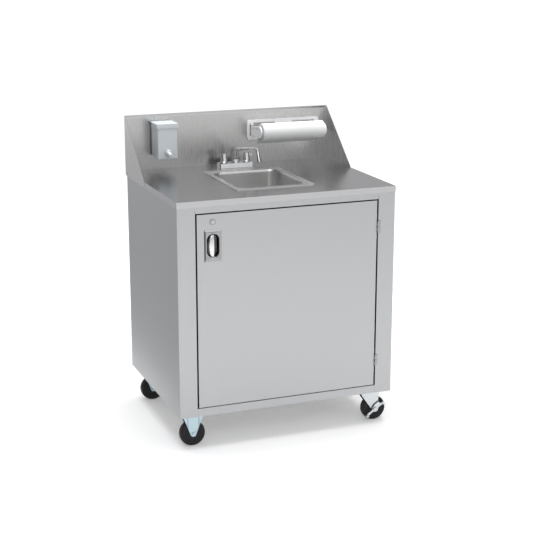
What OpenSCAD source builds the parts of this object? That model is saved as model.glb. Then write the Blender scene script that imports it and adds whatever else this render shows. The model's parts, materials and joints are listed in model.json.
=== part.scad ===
// Portable handwash sink: a stainless cabinet on casters with a drop-in bowl,
// a two-handle faucet, a splash guard, soap and towels, and its own water tanks.
// +Z is up, +X is to the right of a person at the sink, and the door faces -Y.
// The origin is on the floor, under the middle of the overall box. Millimetres.

/* [Cabinet] */
// Width over the side panels
cart_w = 914; // [762:1:1100]
// Depth from the front face to the back of the side panels
cart_d = 702; // [600:1:845]
// Height from the bottom edge of the cabinet to the top of the counter
body_h = 867; // [760:1:1045]
// Thickness of the cabinet sheet
sheet_t = 1.5; // [1.2:0.1:2]
// Width of the front stile beside the door
stile_w = 72; // [60:1:90]
// Visible height of the rail above the door
top_rail_h = 25; // [20:1:40]
// Height of the rail below the door
bottom_rail_h = 33; // [26:1:50]
// Height of the turned-down edge of the counter
counter_edge_h = 24; // [20:1:40]
// Depth of the return flanges on the cabinet panels
return_d = 18; // [12:1:20]

/* [Splash guard] */
// Height of the backsplash above the counter
splash_h = 232; // [216:1:300]
// Length of a side splash along the counter, from the backsplash
splash_run = 267; // [220:1:330]
// How far the splash guard laps down over the counter's edge
splash_lap = 20; // [16:1:24]
// Depth of the box fold along the top of the backsplash
fold_d = 10.5; // [8:0.5:16]
// Width of the side splash's flange on the backsplash
corner_flange_w = 10; // [6:1:16]

/* [Door] */
// Clearance at each side of the door
door_gap = 6.5; // [6:0.5:9]
// Clearance above the door
door_top_gap = 5; // [3:0.5:8]
// Clearance below the door
door_bottom_gap = 3; // [2:0.5:6]
// Thickness of the door
door_t = 22; // [18:1:28]
// Height of a hinge's knuckles
hinge_h = 52; // [40:1:70]
// Height of a hinge's leaves
leaf_h = 100; // [80:1:130]
// Radius of a hinge's knuckles
knuckle_r = 4; // [3.5:0.5:6]
// Radius of a hinge pin
hinge_pin_r = 2; // [1.5:0.5:2.5]
// Centre of the upper hinge below the top of the door
upper_hinge_drop = 107; // [80:1:160]
// Centre of the lower hinge above the bottom of the door
lower_hinge_rise = 106; // [80:1:160]

/* [Pull and lock] */
// Width of the recessed pull's plate
pull_w = 70.5; // [60:0.5:90]
// Height of the recessed pull's plate
pull_h = 124.5; // [100:0.5:150]
// Depth of the recessed pull's cup
pull_depth = 16; // [12:1:18]
// How far the pull's hood stands out of the door
hood_proj = 10; // [6:1:14]
// Centre of the pull from the free edge of the door
pull_inset = 64; // [55:1:90]
// Centre of the pull below the top of the door
pull_drop = 124; // [120:1:200]
// Centre of the lock below the top of the door
lock_drop = 31; // [26:1:36]
// Diameter of the lock's rim
lock_rim_d = 24; // [20:1:28]
// Diameter of the lock's barrel
lock_barrel_d = 18; // [16:1:20]
// Diameter of the lock's plug
plug_d = 12; // [10:1:14]
// Length of the lock's cam from the plug's axis
cam_len = 50; // [46:1:54]

/* [Sink] */
// Inside width of the bowl
bowl_w = 286; // [238:1:344]
// Inside depth of the bowl from front to back
bowl_d = 342; // [285:1:380]
// Depth of the bowl below the counter
bowl_depth = 150; // [120:1:200]
// Width of the rim at each side of the bowl
rim_side_w = 26; // [20:1:32]
// Width of the rim in front of the bowl
rim_front_w = 34; // [25:1:40]
// Width of the rim behind the bowl
rim_rear_w = 43; // [30:1:50]
// Thickness of the raised edge of the rim
rim_edge_h = 3; // [2:0.5:5]
// Radius of the bowl's upright corners
bowl_corner_r = 42; // [30:1:60]
// Thickness of the bowl
bowl_t = 1.5; // [1.2:0.1:2]
// Distance from the rim of the bowl to the faucet
rim_to_faucet = 43; // [30:1:60]
// Diameter of the drain opening
drain_d = 89; // [70:1:92]

/* [Faucet] */
// Centre distance of the two handles
handle_pitch = 102; // [90:1:120]
// Distance from the middle of the faucet to the backsplash
faucet_set = 83; // [75:1:95]
// Reach of the spout from its pivot to its outlet
spout_reach = 205; // [170:1:246]
// Radius of the spout's tube
spout_r = 6.5; // [6:0.5:7.5]
// Height of the spout's arm above the counter at its pivot
spout_rise = 77; // [72:1:92]
// Turn of the spout to the right of straight ahead at rest, in degrees
spout_swing = 9; // [0:1:15]
// Upward slope of the spout's arm, in degrees
spout_slope = 8.7; // [0:0.1:14]

/* [Soap and towels] */
// Width of the soap tank
soap_w = 93; // [78:1:112]
// Depth of the soap tank
soap_d = 104; // [86:1:125]
// Height of the soap tank with its lid
soap_h = 145; // [121:1:155]
// Centre of the soap tank from the left side of the cabinet
soap_x = 151; // [110:1:200]
// Bottom of the soap tank above the counter
soap_z = 60; // [40:1:70]
// How far the towel holder's wall frame reaches past each end of the roll
towel_margin = 26; // [21:1:34]
// Height of the towel holder's wall frame
towel_h = 87; // [82:1:104]
// Centre of the towel holder from the right side of the cabinet
towel_x = 205; // [200:1:240]
// Bottom of the towel holder above the counter
towel_z = 99; // [94:1:120]
// Length of the paper roll
roll_l = 284; // [270:1:290]
// Radius of the paper roll
roll_r = 38.5; // [32:0.5:46]
// Distance of the roll's axis from the backsplash
roll_out = 110; // [98:1:116]
// Radius of the hole in the paper roll
core_r = 19; // [17:1:22]
// How far the loose end of the paper hangs below the roll's axis
tail_drop = 58; // [46:1:66]

/* [Casters] */
// Height of a caster's plate above the top of its wheel
caster_head = 42; // [38:1:60]
// How far the caster plates are set up inside the bottom edge
plate_recess = 4; // [4:1:16]
// Diameter of a wheel
wheel_d = 104; // [88:1:116]
// Width of a wheel
wheel_w = 32; // [25:1:38]
// Inset of a caster's plate centre from the side panels
caster_inset_x = 69; // [60:1:90]
// Inset of a caster's plate centre from the front and the back
caster_inset_y = 70; // [60:1:90]
// Distance from a swivel axis to the wheel's axle
trail = 22; // [14:1:30]
// Radius of a wheel's axle
axle_r = 4.5; // [4:0.5:5]

/* [Water system] */
// Width, depth and height of the fresh water tank
fresh_size = [230, 270, 340]; // [200:1:380]
// Width, depth and height of the waste water tank
waste_size = [260, 300, 380]; // [240:1:400]
// Wall of a water tank
tank_wall = 3; // [2:0.5:5]
// Width, depth and height of the water heater
heater_size = [270, 270, 300]; // [240:1:310]
// Radius of a water hose
hose_r = 8; // [6:0.5:9]
// Radius of the drain hose
drain_hose_r = 19; // [16:1:22]

/* [Hidden] */
$fn = 48;

// Clearances
run_gap = 0.05;          // between a shaft and its hole, on the radius
loose_gap = 0.4;         // between flat faces that slide past each other
cut = 1;                 // how far a cutter runs past the face that it cuts

// Levels and edges of the cabinet
caster_h = wheel_d + caster_head;
body_z = caster_h - plate_recess;
counter_z = body_z + body_h;
splash_top_z = counter_z + splash_h;
half_w = cart_w / 2;
skirt_x = half_w + sheet_t;
splash_x = skirt_x + sheet_t;
rear_proj = sheet_t + fold_d;
front_y = -(cart_d + rear_proj - hood_proj) / 2;
back_y = front_y + cart_d;
wall_y = back_y + sheet_t;

// The door and its opening
open_x = half_w - stile_w;
open_z0 = body_z + bottom_rail_h;
open_z1 = counter_z - counter_edge_h - top_rail_h;
door_x = open_x - door_gap;
door_z0 = open_z0 + door_bottom_gap;
door_z1 = open_z1 - door_top_gap;
door_back_y = front_y + door_t;
hinge_x = open_x - 1;
hinge_y = front_y - knuckle_r - 0.5;
hinge_zs = [door_z1 - upper_hinge_drop, door_z0 + lower_hinge_rise];
leaf_t = 1.2;
pull_x = -door_x + pull_inset;
pull_z = door_z1 - pull_drop;
lock_z = door_z1 - lock_drop;

// The pull's slot and hood, measured on its plate
pull_t = 1.2;
pull_cup_w = pull_w - 22;
pull_cup_h = pull_h - 32;
hood_w = 26;
slot_w = pull_cup_w - hood_w;

// The lock
plug_len = door_t + 7;
cam_t = 2.5;
cam_w = 15;
nut_t = 3;

// The sink
fct_y = wall_y - faucet_set;
fct_base = [handle_pitch + 48, 50, 20];
sink_y = fct_y - fct_base.y / 2 - rim_to_faucet - rim_rear_w - bowl_d / 2;
rim_size = [bowl_w + 2 * rim_side_w, bowl_d + rim_front_w + rim_rear_w];
rim_y = sink_y + (rim_rear_w - rim_front_w) / 2;
rim_t = bowl_t;
bowl_floor_z = counter_z - bowl_depth;
cutout_gap = 6;
rim_corner_r = 10;

// The faucet
fct_top_z = counter_z + fct_base.z;
shank_r = 10;
shank_len = 54;
stem_r = 4.5;
hub_r = 15.5;
hub_h = 15;
riser_r = 8.5;
collar_r = 9;
handle_h = 36;
handle_skirt = 4;
bend_r = 18;
tip_run = 12;            // how far the turned-down end leans back
arm_end_z = counter_z + spout_rise + (spout_reach - tip_run) * tan(spout_slope);
outlet_z = counter_z + 52;
aerator_r = 10;
aerator_h = 14;
tip_tilt = atan2(tip_run, arm_end_z - outlet_z - aerator_h);

// The soap tank
soap_cx = -half_w + soap_x;
soap_back_y = wall_y - 6;
soap_front_y = soap_back_y - soap_d;
soap_z0 = counter_z + soap_z;
soap_z1 = soap_z0 + soap_h;
soap_wall = 2.5;
lid_t = 4;
lid_skirt = 14;
valve_z = soap_z0 + 27;
lid_axis_y = soap_back_y - 2;
lid_axis_z = soap_z1 - lid_t / 2;
valve_r = 11;
plunger_r = 7.5;
plunger_tilt = 10;
valve_seat = valve_r * tan(plunger_tilt) + 0.5;   // the boss ends square to the valve
valve_len = 14;
plunger_out = 30;

// The towel holder
towel_w = roll_l + 2 * towel_margin;
towel_cx = half_w - towel_x;
towel_z0 = counter_z + towel_z;
towel_z1 = towel_z0 + towel_h;
frame_bar = 12;
frame_t = 8;
roll_y = wall_y - roll_out;
roll_z = towel_z0 + towel_h / 2 + 3;
arm_t = 6;
arm_x = roll_l / 2 + 7;
arm_pin_r = 2.5;
arm_pin_y = wall_y - frame_t - 7;
arm_ear_h = 10;
hub_pad_r = 26;
roll_hub_r = core_r - 3;
roll_hub_len = 12;
paper_t = 0.8;

// The casters
plate_t = 2.5;
plate_size = [95, 67];
bolt_pitch = [75, 45];
bolt_r = 4;
bolt_head_r = 6.5;
bolt_head_h = 3;
axle_z = wheel_d / 2;
leg_t = 2.5;
leg_y = wheel_w / 2 + 2.5;
race_r = 27;
race_h = 9;
crown_z = caster_h - plate_t - race_h - loose_gap;
fork_x = [-half_w + caster_inset_x, half_w - caster_inset_x];
fork_y = [front_y + caster_inset_y, back_y - caster_inset_y];
hub_w = wheel_w + 4;
brake_t = 3;
brake_stud = 14;

// The water system
floor_z = caster_h + sheet_t;
neck_inset = 45;
fresh_setback = 105;     // keeps the tank behind the nuts of the front caster
waste_setback = 60;
fresh_pos = [-half_w + 30 + fresh_size.x / 2, front_y + fresh_setback + fresh_size.y / 2];
waste_pos = [fresh_pos.x + (fresh_size.x + waste_size.x) / 2 + 15,
             front_y + waste_setback + waste_size.y / 2];
fresh_neck = [fresh_pos.x, fresh_pos.y + fresh_size.y / 2 - neck_inset];
waste_neck = [waste_pos.x, waste_pos.y + waste_size.y / 2 - neck_inset];
heater_pos = [half_w - 25 - heater_size.x / 2, back_y - 60 - heater_size.y / 2];
port_dx = 100;
pump_port_dx = 62;
pump_setback = 145;      // keeps the feet behind the nuts of the front caster
pump_pos = [heater_pos.x + port_dx - pump_port_dx, front_y + pump_setback];
neck_r = 30;
neck_h = 26;
cap_r = 36;
cap_h = 24;
tank_corner_r = 28;
hose_sides = 12;
panel_y = back_y - 2 * sheet_t;
box_pos = [half_w - 150, counter_z - 250];
box_size = [130, 60, 90];
rocker_dx = 58;
rocker_y = panel_y - 4;

function unit(v) = v / norm(v);
function turned(v, a) = [v.x * cos(a) - v.y * sin(a), v.x * sin(a) + v.y * cos(a)];
function rounded_points(w, d, r, n = 6) = [
    for (q = [0:3]) for (k = [0:n])
        let (sx = (q == 0 || q == 3) ? 1 : -1, sy = q < 2 ? 1 : -1)
        [sx * (w / 2 - r), sy * (d / 2 - r)] + r * [cos(90 * (q + k / n)), sin(90 * (q + k / n))]
];
function corner_arc(a, b, c, r, n) = let (
    u = unit(a - b),
    v = unit(c - b),
    half = acos(u * v) / 2,
    centre = b + unit(u + v) * r / sin(half),
    sweep = 180 - 2 * half,
    w1 = unit(b + u * r / tan(half) - centre),
    w2 = unit(b + v * r / tan(half) - centre)
) [for (k = [0:n]) centre + r * (sin((1 - k / n) * sweep) * w1 + sin(k / n * sweep) * w2) / sin(sweep)];
function smooth_route(p, r, n = 6) = concat(
    [p[0]],
    [for (i = [1:len(p) - 2]) each corner_arc(p[i - 1], p[i], p[i + 1], r, n)],
    [p[len(p) - 1]]
);
function tangents(p) = [
    for (i = [0:len(p) - 1]) unit(p[min(i + 1, len(p) - 1)] - p[max(i - 1, 0)])
];
function any_normal(t) = unit(cross(t, abs(t.z) < 0.9 ? [0, 0, 1] : [1, 0, 0]));
function carried(t) = [
    for (i = 0, u = any_normal(t[0]); i < len(t);
        i = i + 1, u = i < len(t) ? unit(u - (u * t[i]) * t[i]) : u) u
];

// A round bar or hose of radius r along the points p
module sweep_round(p, r, sides = hose_sides) {
    t = tangents(p);
    u = carried(t);
    n = len(p);
    rings = [
        for (i = [0:n - 1]) let (v = cross(t[i], u[i])) for (k = [0:sides - 1])
            p[i] + r * (cos(360 * k / sides) * u[i] + sin(360 * k / sides) * v)
    ];
    walls = [
        for (i = [0:n - 2]) for (k = [0:sides - 1])
            let (a = i * sides + k, b = i * sides + (k + 1) % sides)
            [a, a + sides, b + sides, b]
    ];
    start_cap = [for (k = [0:sides - 1]) k];
    end_cap = [for (k = [0:sides - 1]) n * sides - 1 - k];
    polyhedron(rings, concat(walls, [start_cap, end_cap]), convexity = 6);
}

// A box from corner a to corner b
module block(a, b) {
    translate(a) cube(b - a);
}

// A plate with upright rounded corners, standing on z = 0
module rounded_plate(w, d, h, r) {
    linear_extrude(h) polygon(rounded_points(w, d, r));
}

// A rod along X, Y or Z from the point p
module rod(p, r, length, axis) {
    turn = axis == "x" ? [0, 90, 0] : axis == "y" ? [-90, 0, 0] : [0, 0, 0];
    translate(p) rotate(turn) cylinder(r = r, h = length);
}

module mirror_x(on) {
    mirror([on ? 1 : 0, 0, 0]) children();
}

// ---- Cabinet ----

// The left side panel as seen from above: side, stile, door return and rear flange
module side_panel() {
    z0 = body_z;
    z1 = counter_z - sheet_t;
    color("silver") difference() {
        union() {
            block([-half_w, front_y, z0], [-half_w + sheet_t, back_y, z1]);
            block([-half_w, front_y, z0], [-open_x, front_y + sheet_t, z1]);
            block([-open_x - sheet_t, front_y, z0], [-open_x, front_y + return_d, z1]);
            block([-half_w, back_y - sheet_t, z0], [-half_w + 25, back_y, z1]);
        }
        back_screw_points() screw_hole();
        splash_screw_points() screw_hole();
    }
}

// Back panel screws on the left, each along Y with its head at the back
module back_screw_points() {
    for (k = [0:3])
        translate([-half_w + 13, back_y, floor_z + 60 + k * (body_h - 160) / 3]) rotate([90, 0, 0])
            children();
}

// Splash screws on the left, each along X with its head outside the side splash
module splash_screw_points() {
    for (y = [wall_y - splash_run + 9, wall_y - 12])
        translate([-splash_x, y, counter_z - splash_lap / 2]) rotate([0, 90, 0]) children();
}

// A dome-headed screw, with its head's seat at the origin and its shank along +Z
module dome_screw() {
    translate([0, 0, -2]) cylinder(r1 = 2.6, r2 = 4.2, h = 2);
    cylinder(r = 1.75, h = 4 * sheet_t);
}

module screw_hole() {
    translate([0, 0, -5]) cylinder(r = 1.8, h = 5 + 5 * sheet_t);
}

// The back panel lies inside the side panels' rear flanges, with a grille of vent slots
module back_panel() {
    x = half_w - sheet_t;
    slot = [90, 7];
    color("silver") difference() {
        block([-x, panel_y, floor_z], [x, panel_y + sheet_t, counter_z - sheet_t]);
        for (side = [-1, 1]) for (row = [0:5])
            translate([side * cart_w / 5, panel_y - cut, body_z + 160 + row * 22])
                translate([-slot.x / 2, 0, 0]) cube([slot.x, sheet_t + 2 * cut, slot.y]);
        translate([box_pos.x - 27, panel_y - cut, box_pos.y - 16])
            cube([54, sheet_t + 2 * cut, 32]);
        translate([box_pos.x + rocker_dx - 7.5, panel_y - cut, box_pos.y - 12])
            cube([15, sheet_t + 2 * cut, 24]);
        for (s = [0, 1]) mirror_x(s == 1) back_screw_points() screw_hole();
    }
}

// The floor of the cabinet, a shallow tray with turned-up edges
module base_pan() {
    x = half_w - sheet_t;
    y0 = front_y + return_d;
    y1 = panel_y;
    edge_z = caster_h + 15;
    color("silver") difference() {
        union() {
            block([-x, y0, caster_h], [x, y1, caster_h + sheet_t]);
            block([-x, y0, caster_h], [-x + sheet_t, y1, edge_z]);
            block([x - sheet_t, y0, caster_h], [x, y1, edge_z]);
        }
        caster_bolt_pattern() cylinder(r = bolt_r, h = 4 * sheet_t, center = true);
    }
}

// The rail over the door, with its return under it and a flange behind the counter's edge
module top_rail() {
    z1 = counter_z - sheet_t;
    color("silver") {
        block([-open_x, front_y, open_z1], [open_x, front_y + sheet_t, z1]);
        block([-open_x, front_y, open_z1], [open_x, front_y + return_d, open_z1 + sheet_t]);
    }
}

// The rail under the door, a channel open at the back
module bottom_rail() {
    color("silver") {
        block([-open_x, front_y, body_z], [open_x, front_y + sheet_t, open_z0]);
        block([-open_x, front_y, open_z0 - sheet_t], [open_x, front_y + return_d, open_z0]);
        block([-open_x, front_y, body_z], [open_x, front_y + return_d, body_z + sheet_t]);
    }
}

// The counter is one sheet with its edges turned down over the cabinet
module countertop() {
    z0 = counter_z - counter_edge_h;
    hole = [bowl_w + 2 * (bowl_t + cutout_gap), bowl_d + 2 * (bowl_t + cutout_gap)];
    color("gainsboro") difference() {
        block([-skirt_x, front_y - sheet_t, z0], [skirt_x, wall_y, counter_z]);
        block([-half_w, front_y, z0 - cut], [half_w, back_y, counter_z - sheet_t]);
        translate([0, sink_y, counter_z - 5])
            rounded_plate(hole.x, hole.y, 10, bowl_corner_r + bowl_t + cutout_gap);
        for (s = [-1, 1])
            translate([s * handle_pitch / 2, fct_y, counter_z - 5])
                cylinder(r = shank_r + 2, h = 10);
        for (s = [0, 1]) mirror_x(s == 1) splash_screw_points() screw_hole();
    }
}

// ---- Splash guard ----

// The back of the splash guard: a sheet with a sloping top fold and a rear return
module backsplash() {
    x = skirt_x;
    fold_z = splash_top_z - fold_d;
    color("gainsboro") translate([-x, 0, 0]) rotate([90, 0, 90]) linear_extrude(2 * x) polygon([
        [wall_y, counter_z - splash_lap],
        [wall_y + sheet_t, counter_z - splash_lap],
        [wall_y + sheet_t, fold_z - sheet_t / 3],
        [wall_y + fold_d - sheet_t, splash_top_z - 1.6 * sheet_t],
        [wall_y + fold_d - sheet_t, fold_z - 14],
        [wall_y + fold_d, fold_z - 14],
        [wall_y + fold_d, splash_top_z],
        [wall_y + fold_d - sheet_t, splash_top_z],
        [wall_y, fold_z + sheet_t / 3]
    ]);
}

// The left side splash, with its flange on the backsplash and its lap over the counter's edge
module side_splash() {
    low = counter_z - splash_lap;
    color("gainsboro") difference() {
        union() {
            translate([-splash_x, 0, 0]) rotate([90, 0, 90]) linear_extrude(sheet_t) polygon([
                [wall_y - splash_run, low],
                [wall_y + fold_d, low],
                [wall_y + fold_d, splash_top_z],
                [wall_y - 4, splash_top_z],
                [wall_y - splash_run, counter_z + 4]
            ]);
            block([-skirt_x - sheet_t / 2, wall_y - sheet_t, counter_z + loose_gap],
                  [-skirt_x + corner_flange_w, wall_y, splash_top_z - fold_d - 2]);
        }
        splash_screw_points() screw_hole();
    }
}

// Screws of the splash guard and the back panel
module panel_screws() {
    color("dimgray") for (s = [0, 1]) mirror_x(s == 1) {
        splash_screw_points() dome_screw();
        back_screw_points() dome_screw();
    }
}

// ---- Door ----

// The door's outer pan, with its edges turned back
module door_skin() {
    y1 = door_back_y - sheet_t;
    color("silver") difference() {
        block([-door_x, front_y, door_z0], [door_x, y1, door_z1]);
        block([-door_x + sheet_t, front_y + sheet_t, door_z0 + sheet_t],
              [door_x - sheet_t, y1 + cut, door_z1 - sheet_t]);
        translate([pull_x - pull_cup_w / 2 - pull_t, front_y - cut, pull_z - pull_cup_h / 2 - pull_t])
            cube([pull_cup_w + 2 * pull_t, 3 * sheet_t, pull_cup_h + 2 * pull_t]);
        rod([pull_x, front_y - cut, lock_z], lock_barrel_d / 2, 3 * sheet_t, "y");
    }
}

// The door's inner pan closes the back
module door_liner() {
    color("silver") difference() {
        block([-door_x, door_back_y - sheet_t, door_z0], [door_x, door_back_y, door_z1]);
        rod([pull_x, door_back_y - 2 * sheet_t, lock_z], lock_barrel_d / 2, 3 * sheet_t, "y");
    }
}

// The recessed pull: a plate with a cup behind it and a hood over the left half of the cup
module pull_handle() {
    w = pull_cup_w;
    h = pull_cup_h;
    hood_x = -w / 2 + hood_w;
    color("lightgray") translate([pull_x, front_y, pull_z]) {
        difference() {
            union() {
                block([-pull_w / 2, -pull_t, -pull_h / 2], [pull_w / 2, 0, pull_h / 2]);
                block([-w / 2 - pull_t, -pull_t / 2, -h / 2 - pull_t],
                      [w / 2 + pull_t, pull_depth + pull_t, h / 2 + pull_t]);
            }
            block([-w / 2, -3, -h / 2], [w / 2, pull_depth, h / 2]);
        }
        difference() {
            hood_shape(w, h, hood_x, 0);
            hood_shape(w, h, hood_x, pull_t);
        }
    }
}

// Half of the hood is flush with the plate at its left end and stands out at its right
module hood_shape(w, h, hood_x, inset) {
    back = inset > 0 ? cut : 0;
    hull() {
        translate([-w / 2 - 1 + inset, -pull_t, 0])
            cube([0.1, 2 * pull_t + 2 * back, h * 0.55], center = true);
        translate([hood_x + (inset > 0 ? cut : 0), 0, 0]) rotate([0, -90, 0])
            linear_extrude(0.2) polygon([
                for (a = [0:15:180]) [-(h / 2 + 1 - inset) * cos(a), -(hood_proj - inset) * sin(a)],
                [-(h / 2 + 1 - inset), back], [h / 2 + 1 - inset, back]
            ]);
    }
}

// The lock's barrel with its rim at the front and its nut behind the door
module lock_housing() {
    color("lightgray") translate([pull_x, front_y, lock_z]) rotate([-90, 0, 0]) difference() {
        union() {
            translate([0, 0, -2]) cylinder(r = lock_rim_d / 2, h = 2);
            cylinder(r = lock_barrel_d / 2, h = door_t + nut_t);
            translate([0, 0, door_t]) cylinder(r = lock_rim_d / 2, h = nut_t, $fn = 6);
        }
        translate([0, 0, -3]) cylinder(r = plug_d / 2 + run_gap, h = door_t + nut_t + 4);
    }
}

// The turning plug, with its keyway, and the cam that it carries behind the door
module lock_plug() {
    color("gainsboro") translate([pull_x, front_y, lock_z]) difference() {
        union() {
            rod([0, -2.5, 0], plug_d / 2, plug_len + 2.5, "y");
            block([-cam_w / 2, plug_len, -cam_w / 2], [cam_len, plug_len + cam_t, cam_w / 2]);
            rod([0, plug_len, 0], cam_w / 2, cam_t, "y");
        }
        block([-1, -4, -4], [1, 6, 4]);
    }
}

// Hinge knuckles run in fifths: the frame has the first, third and fifth
module knuckles(z, fifths) {
    step = hinge_h / 5;
    for (k = fifths)
        translate([hinge_x, hinge_y, z - hinge_h / 2 + k * step + loose_gap / 2])
            cylinder(r = knuckle_r, h = step - loose_gap);
}

module knuckle_bore(z) {
    translate([hinge_x, hinge_y, z - hinge_h / 2 - cut])
        cylinder(r = hinge_pin_r + run_gap, h = hinge_h + 2 * cut);
}

// The leaves on the stile: a plate on the front of the stile behind each set of knuckles
module hinge_frame_leaves() {
    color("darkgray") for (z = hinge_zs) difference() {
        union() {
            knuckles(z, [0, 2, 4]);
            for (k = [0, 2, 4])
                translate([hinge_x, front_y - leaf_t, z - hinge_h / 2 + k * hinge_h / 5 + loose_gap / 2])
                    cube([12, leaf_t, hinge_h / 5 - loose_gap]);
            block([hinge_x + knuckle_r + loose_gap, front_y - leaf_t, z - hinge_h / 2 + loose_gap / 2],
                  [hinge_x + 12, front_y, z + hinge_h / 2 - loose_gap / 2]);
        }
        knuckle_bore(z);
    }
}

// The leaves on the door's edge, in the gap between the door and the stile
module hinge_door_leaves() {
    color("darkgray") for (z = hinge_zs) difference() {
        union() {
            knuckles(z, [1, 3]);
            block([door_x, front_y + 1, z - leaf_h / 2],
                  [door_x + leaf_t, door_back_y - 1, z + leaf_h / 2]);
            for (k = [1, 3])
                translate([door_x, hinge_y, z - hinge_h / 2 + k * hinge_h / 5 + loose_gap / 2])
                    cube([leaf_t + 1, front_y + 2 - hinge_y, hinge_h / 5 - loose_gap]);
        }
        knuckle_bore(z);
    }
}

// Hinge pins, each with a small head above and below its knuckles
module hinge_pins() {
    color("gray") for (z = hinge_zs) translate([hinge_x, hinge_y, z]) {
        cylinder(r = hinge_pin_r, h = hinge_h, center = true);
        for (s = [-1, 1])
            translate([0, 0, s * (hinge_h / 2 + 0.8)]) cylinder(r = knuckle_r - 1, h = 1.6, center = true);
    }
}

// ---- Sink ----

// The drawn bowl, with a flat rim that lies on the counter
module sink_bowl() {
    color("silver") difference() {
        union() {
            translate([0, rim_y, counter_z]) rounded_plate(rim_size.x, rim_size.y, rim_edge_h, rim_corner_r);
            translate([0, sink_y, bowl_floor_z - bowl_t])
                rounded_plate(bowl_w + 2 * bowl_t, bowl_d + 2 * bowl_t, bowl_depth + bowl_t + rim_t,
                              bowl_corner_r + bowl_t);
        }
        translate([0, rim_y, counter_z + rim_t])
            rounded_plate(rim_size.x - 8, rim_size.y - 8, rim_edge_h, rim_corner_r - 4);
        translate([0, sink_y, bowl_floor_z])
            rounded_plate(bowl_w, bowl_d, bowl_depth + 2 * rim_edge_h, bowl_corner_r);
        translate([0, sink_y, bowl_floor_z - 2 * bowl_t]) cylinder(r = drain_d / 2, h = 4 * bowl_t);
    }
}

// The drain's flange, cup and tailpiece
module drain_body() {
    r = drain_d / 2 - 0.5;
    color("lightgray") translate([0, sink_y, bowl_floor_z]) difference() {
        union() {
            cylinder(r = drain_d / 2 + 9, h = 1.5);
            translate([0, 0, -38]) cylinder(r = r, h = 39);
            translate([0, 0, -14]) cylinder(r = r + 8, h = 10, $fn = 8);
            translate([0, 0, -78]) cylinder(r = drain_hose_r, h = 41);
        }
        translate([0, 0, -36]) cylinder(r = r - 2, h = 40);
        translate([0, 0, -80]) cylinder(r = drain_hose_r - 2.5, h = 60);
    }
}

// The lift-out strainer: a perforated cup with a rim and a knob
module strainer_basket() {
    r = drain_d / 2 - 4;
    seat = 1.5 + loose_gap;
    color("lightgray") translate([0, sink_y, bowl_floor_z]) {
        difference() {
            union() {
                translate([0, 0, seat]) cylinder(r = r + 7, h = 1.5);
                translate([0, 0, -22]) cylinder(r = r, h = 22 + seat);
            }
            translate([0, 0, -20.5]) cylinder(r = r - 1.5, h = 30);
            for (ring = [0, 1]) for (k = [0:11])
                rotate([0, 0, 30 * k + 15 * ring])
                    translate([12 + 11 * ring, 0, -24]) cylinder(r = 2.5, h = 6);
        }
        translate([0, 0, -21]) cylinder(r = 4, h = 26);
        translate([0, 0, 5]) cylinder(r1 = 4, r2 = 8, h = 4);
        translate([0, 0, 9]) cylinder(r = 8, h = 3);
    }
}

// The hose from the drain to the cap of the waste tank
module drain_hose() {
    top = [0, sink_y, bowl_floor_z - 78];
    low = [waste_neck.x, waste_neck.y, floor_z + waste_size.z + neck_h - 14];
    route = smooth_route([
        top, [top.x, top.y, top.z - 65], [low.x, low.y, low.z + 75], low
    ], 60, 5);
    color("whitesmoke") sweep_round(route, drain_hose_r, 20);
}

// ---- Faucet ----

// The cast body: a bar with the two valve stems, the spout's hub and the shanks
module faucet_body() {
    color("lightgray") translate([0, fct_y, 0]) difference() {
        union() {
            translate([0, 0, counter_z]) rounded_plate(fct_base.x, fct_base.y, fct_base.z, 5);
            for (s = [-1, 1]) translate([s * handle_pitch / 2, 0, 0]) {
                translate([0, 0, counter_z - shank_len]) cylinder(r = shank_r, h = shank_len + 2);
                translate([0, 0, fct_top_z]) cylinder(r = 14, h = 3);
                translate([0, 0, fct_top_z]) cylinder(r = stem_r, h = handle_h - 8);
            }
            translate([0, 0, fct_top_z]) cylinder(r = hub_r, h = hub_h);
        }
        translate([0, 0, fct_top_z - 6]) cylinder(r = collar_r + run_gap, h = hub_h + 10);
        for (s = [-1, 1])
            translate([s * handle_pitch / 2, 0, counter_z - shank_len - cut])
                cylinder(r = shank_r - 4, h = shank_len - 6);
    }
}

// The nuts that clamp the faucet under the counter
module faucet_nuts() {
    color("goldenrod") for (s = [-1, 1])
        translate([s * handle_pitch / 2, fct_y, counter_z - sheet_t - 8]) difference() {
            cylinder(r = 19, h = 8, $fn = 6);
            translate([0, 0, -cut]) cylinder(r = shank_r + run_gap, h = 10);
        }
}

// The swinging spout: collar, riser, sloping arm and a turned-down end
module spout() {
    route = smooth_route([
        [0, 0, counter_z + spout_rise - bend_r - 2],
        [0, 0, counter_z + spout_rise],
        [0, -spout_reach + tip_run, arm_end_z],
        [0, -spout_reach, outlet_z + aerator_h]
    ], bend_r, 8);
    color("lightgray") on_spout() {
        sweep_round(route, spout_r, 24);
        translate([0, 0, fct_top_z - 5]) cylinder(r = collar_r, h = hub_h + 8);
        translate([0, 0, fct_top_z + hub_h + loose_gap]) cylinder(r = hub_r - 1.5, h = 7);
        translate([0, 0, fct_top_z + hub_h + 5])
            cylinder(r = riser_r, h = counter_z + spout_rise - bend_r - fct_top_z - hub_h - 5);
    }
}

// Places its children on the spout's pivot, turned as the spout stands at rest
module on_spout() {
    translate([0, fct_y, 0]) rotate([0, 0, spout_swing]) children();
}

// The aerator screwed on the end of the spout
module aerator() {
    color("gainsboro") on_spout() translate([0, -spout_reach, outlet_z + aerator_h])
        rotate([-tip_tilt, 0, 0]) translate([0, 0, -aerator_h]) difference() {
            cylinder(r = aerator_r, h = aerator_h);
            translate([0, 0, -cut]) cylinder(r = aerator_r - 3, h = 5);
        }
}

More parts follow.
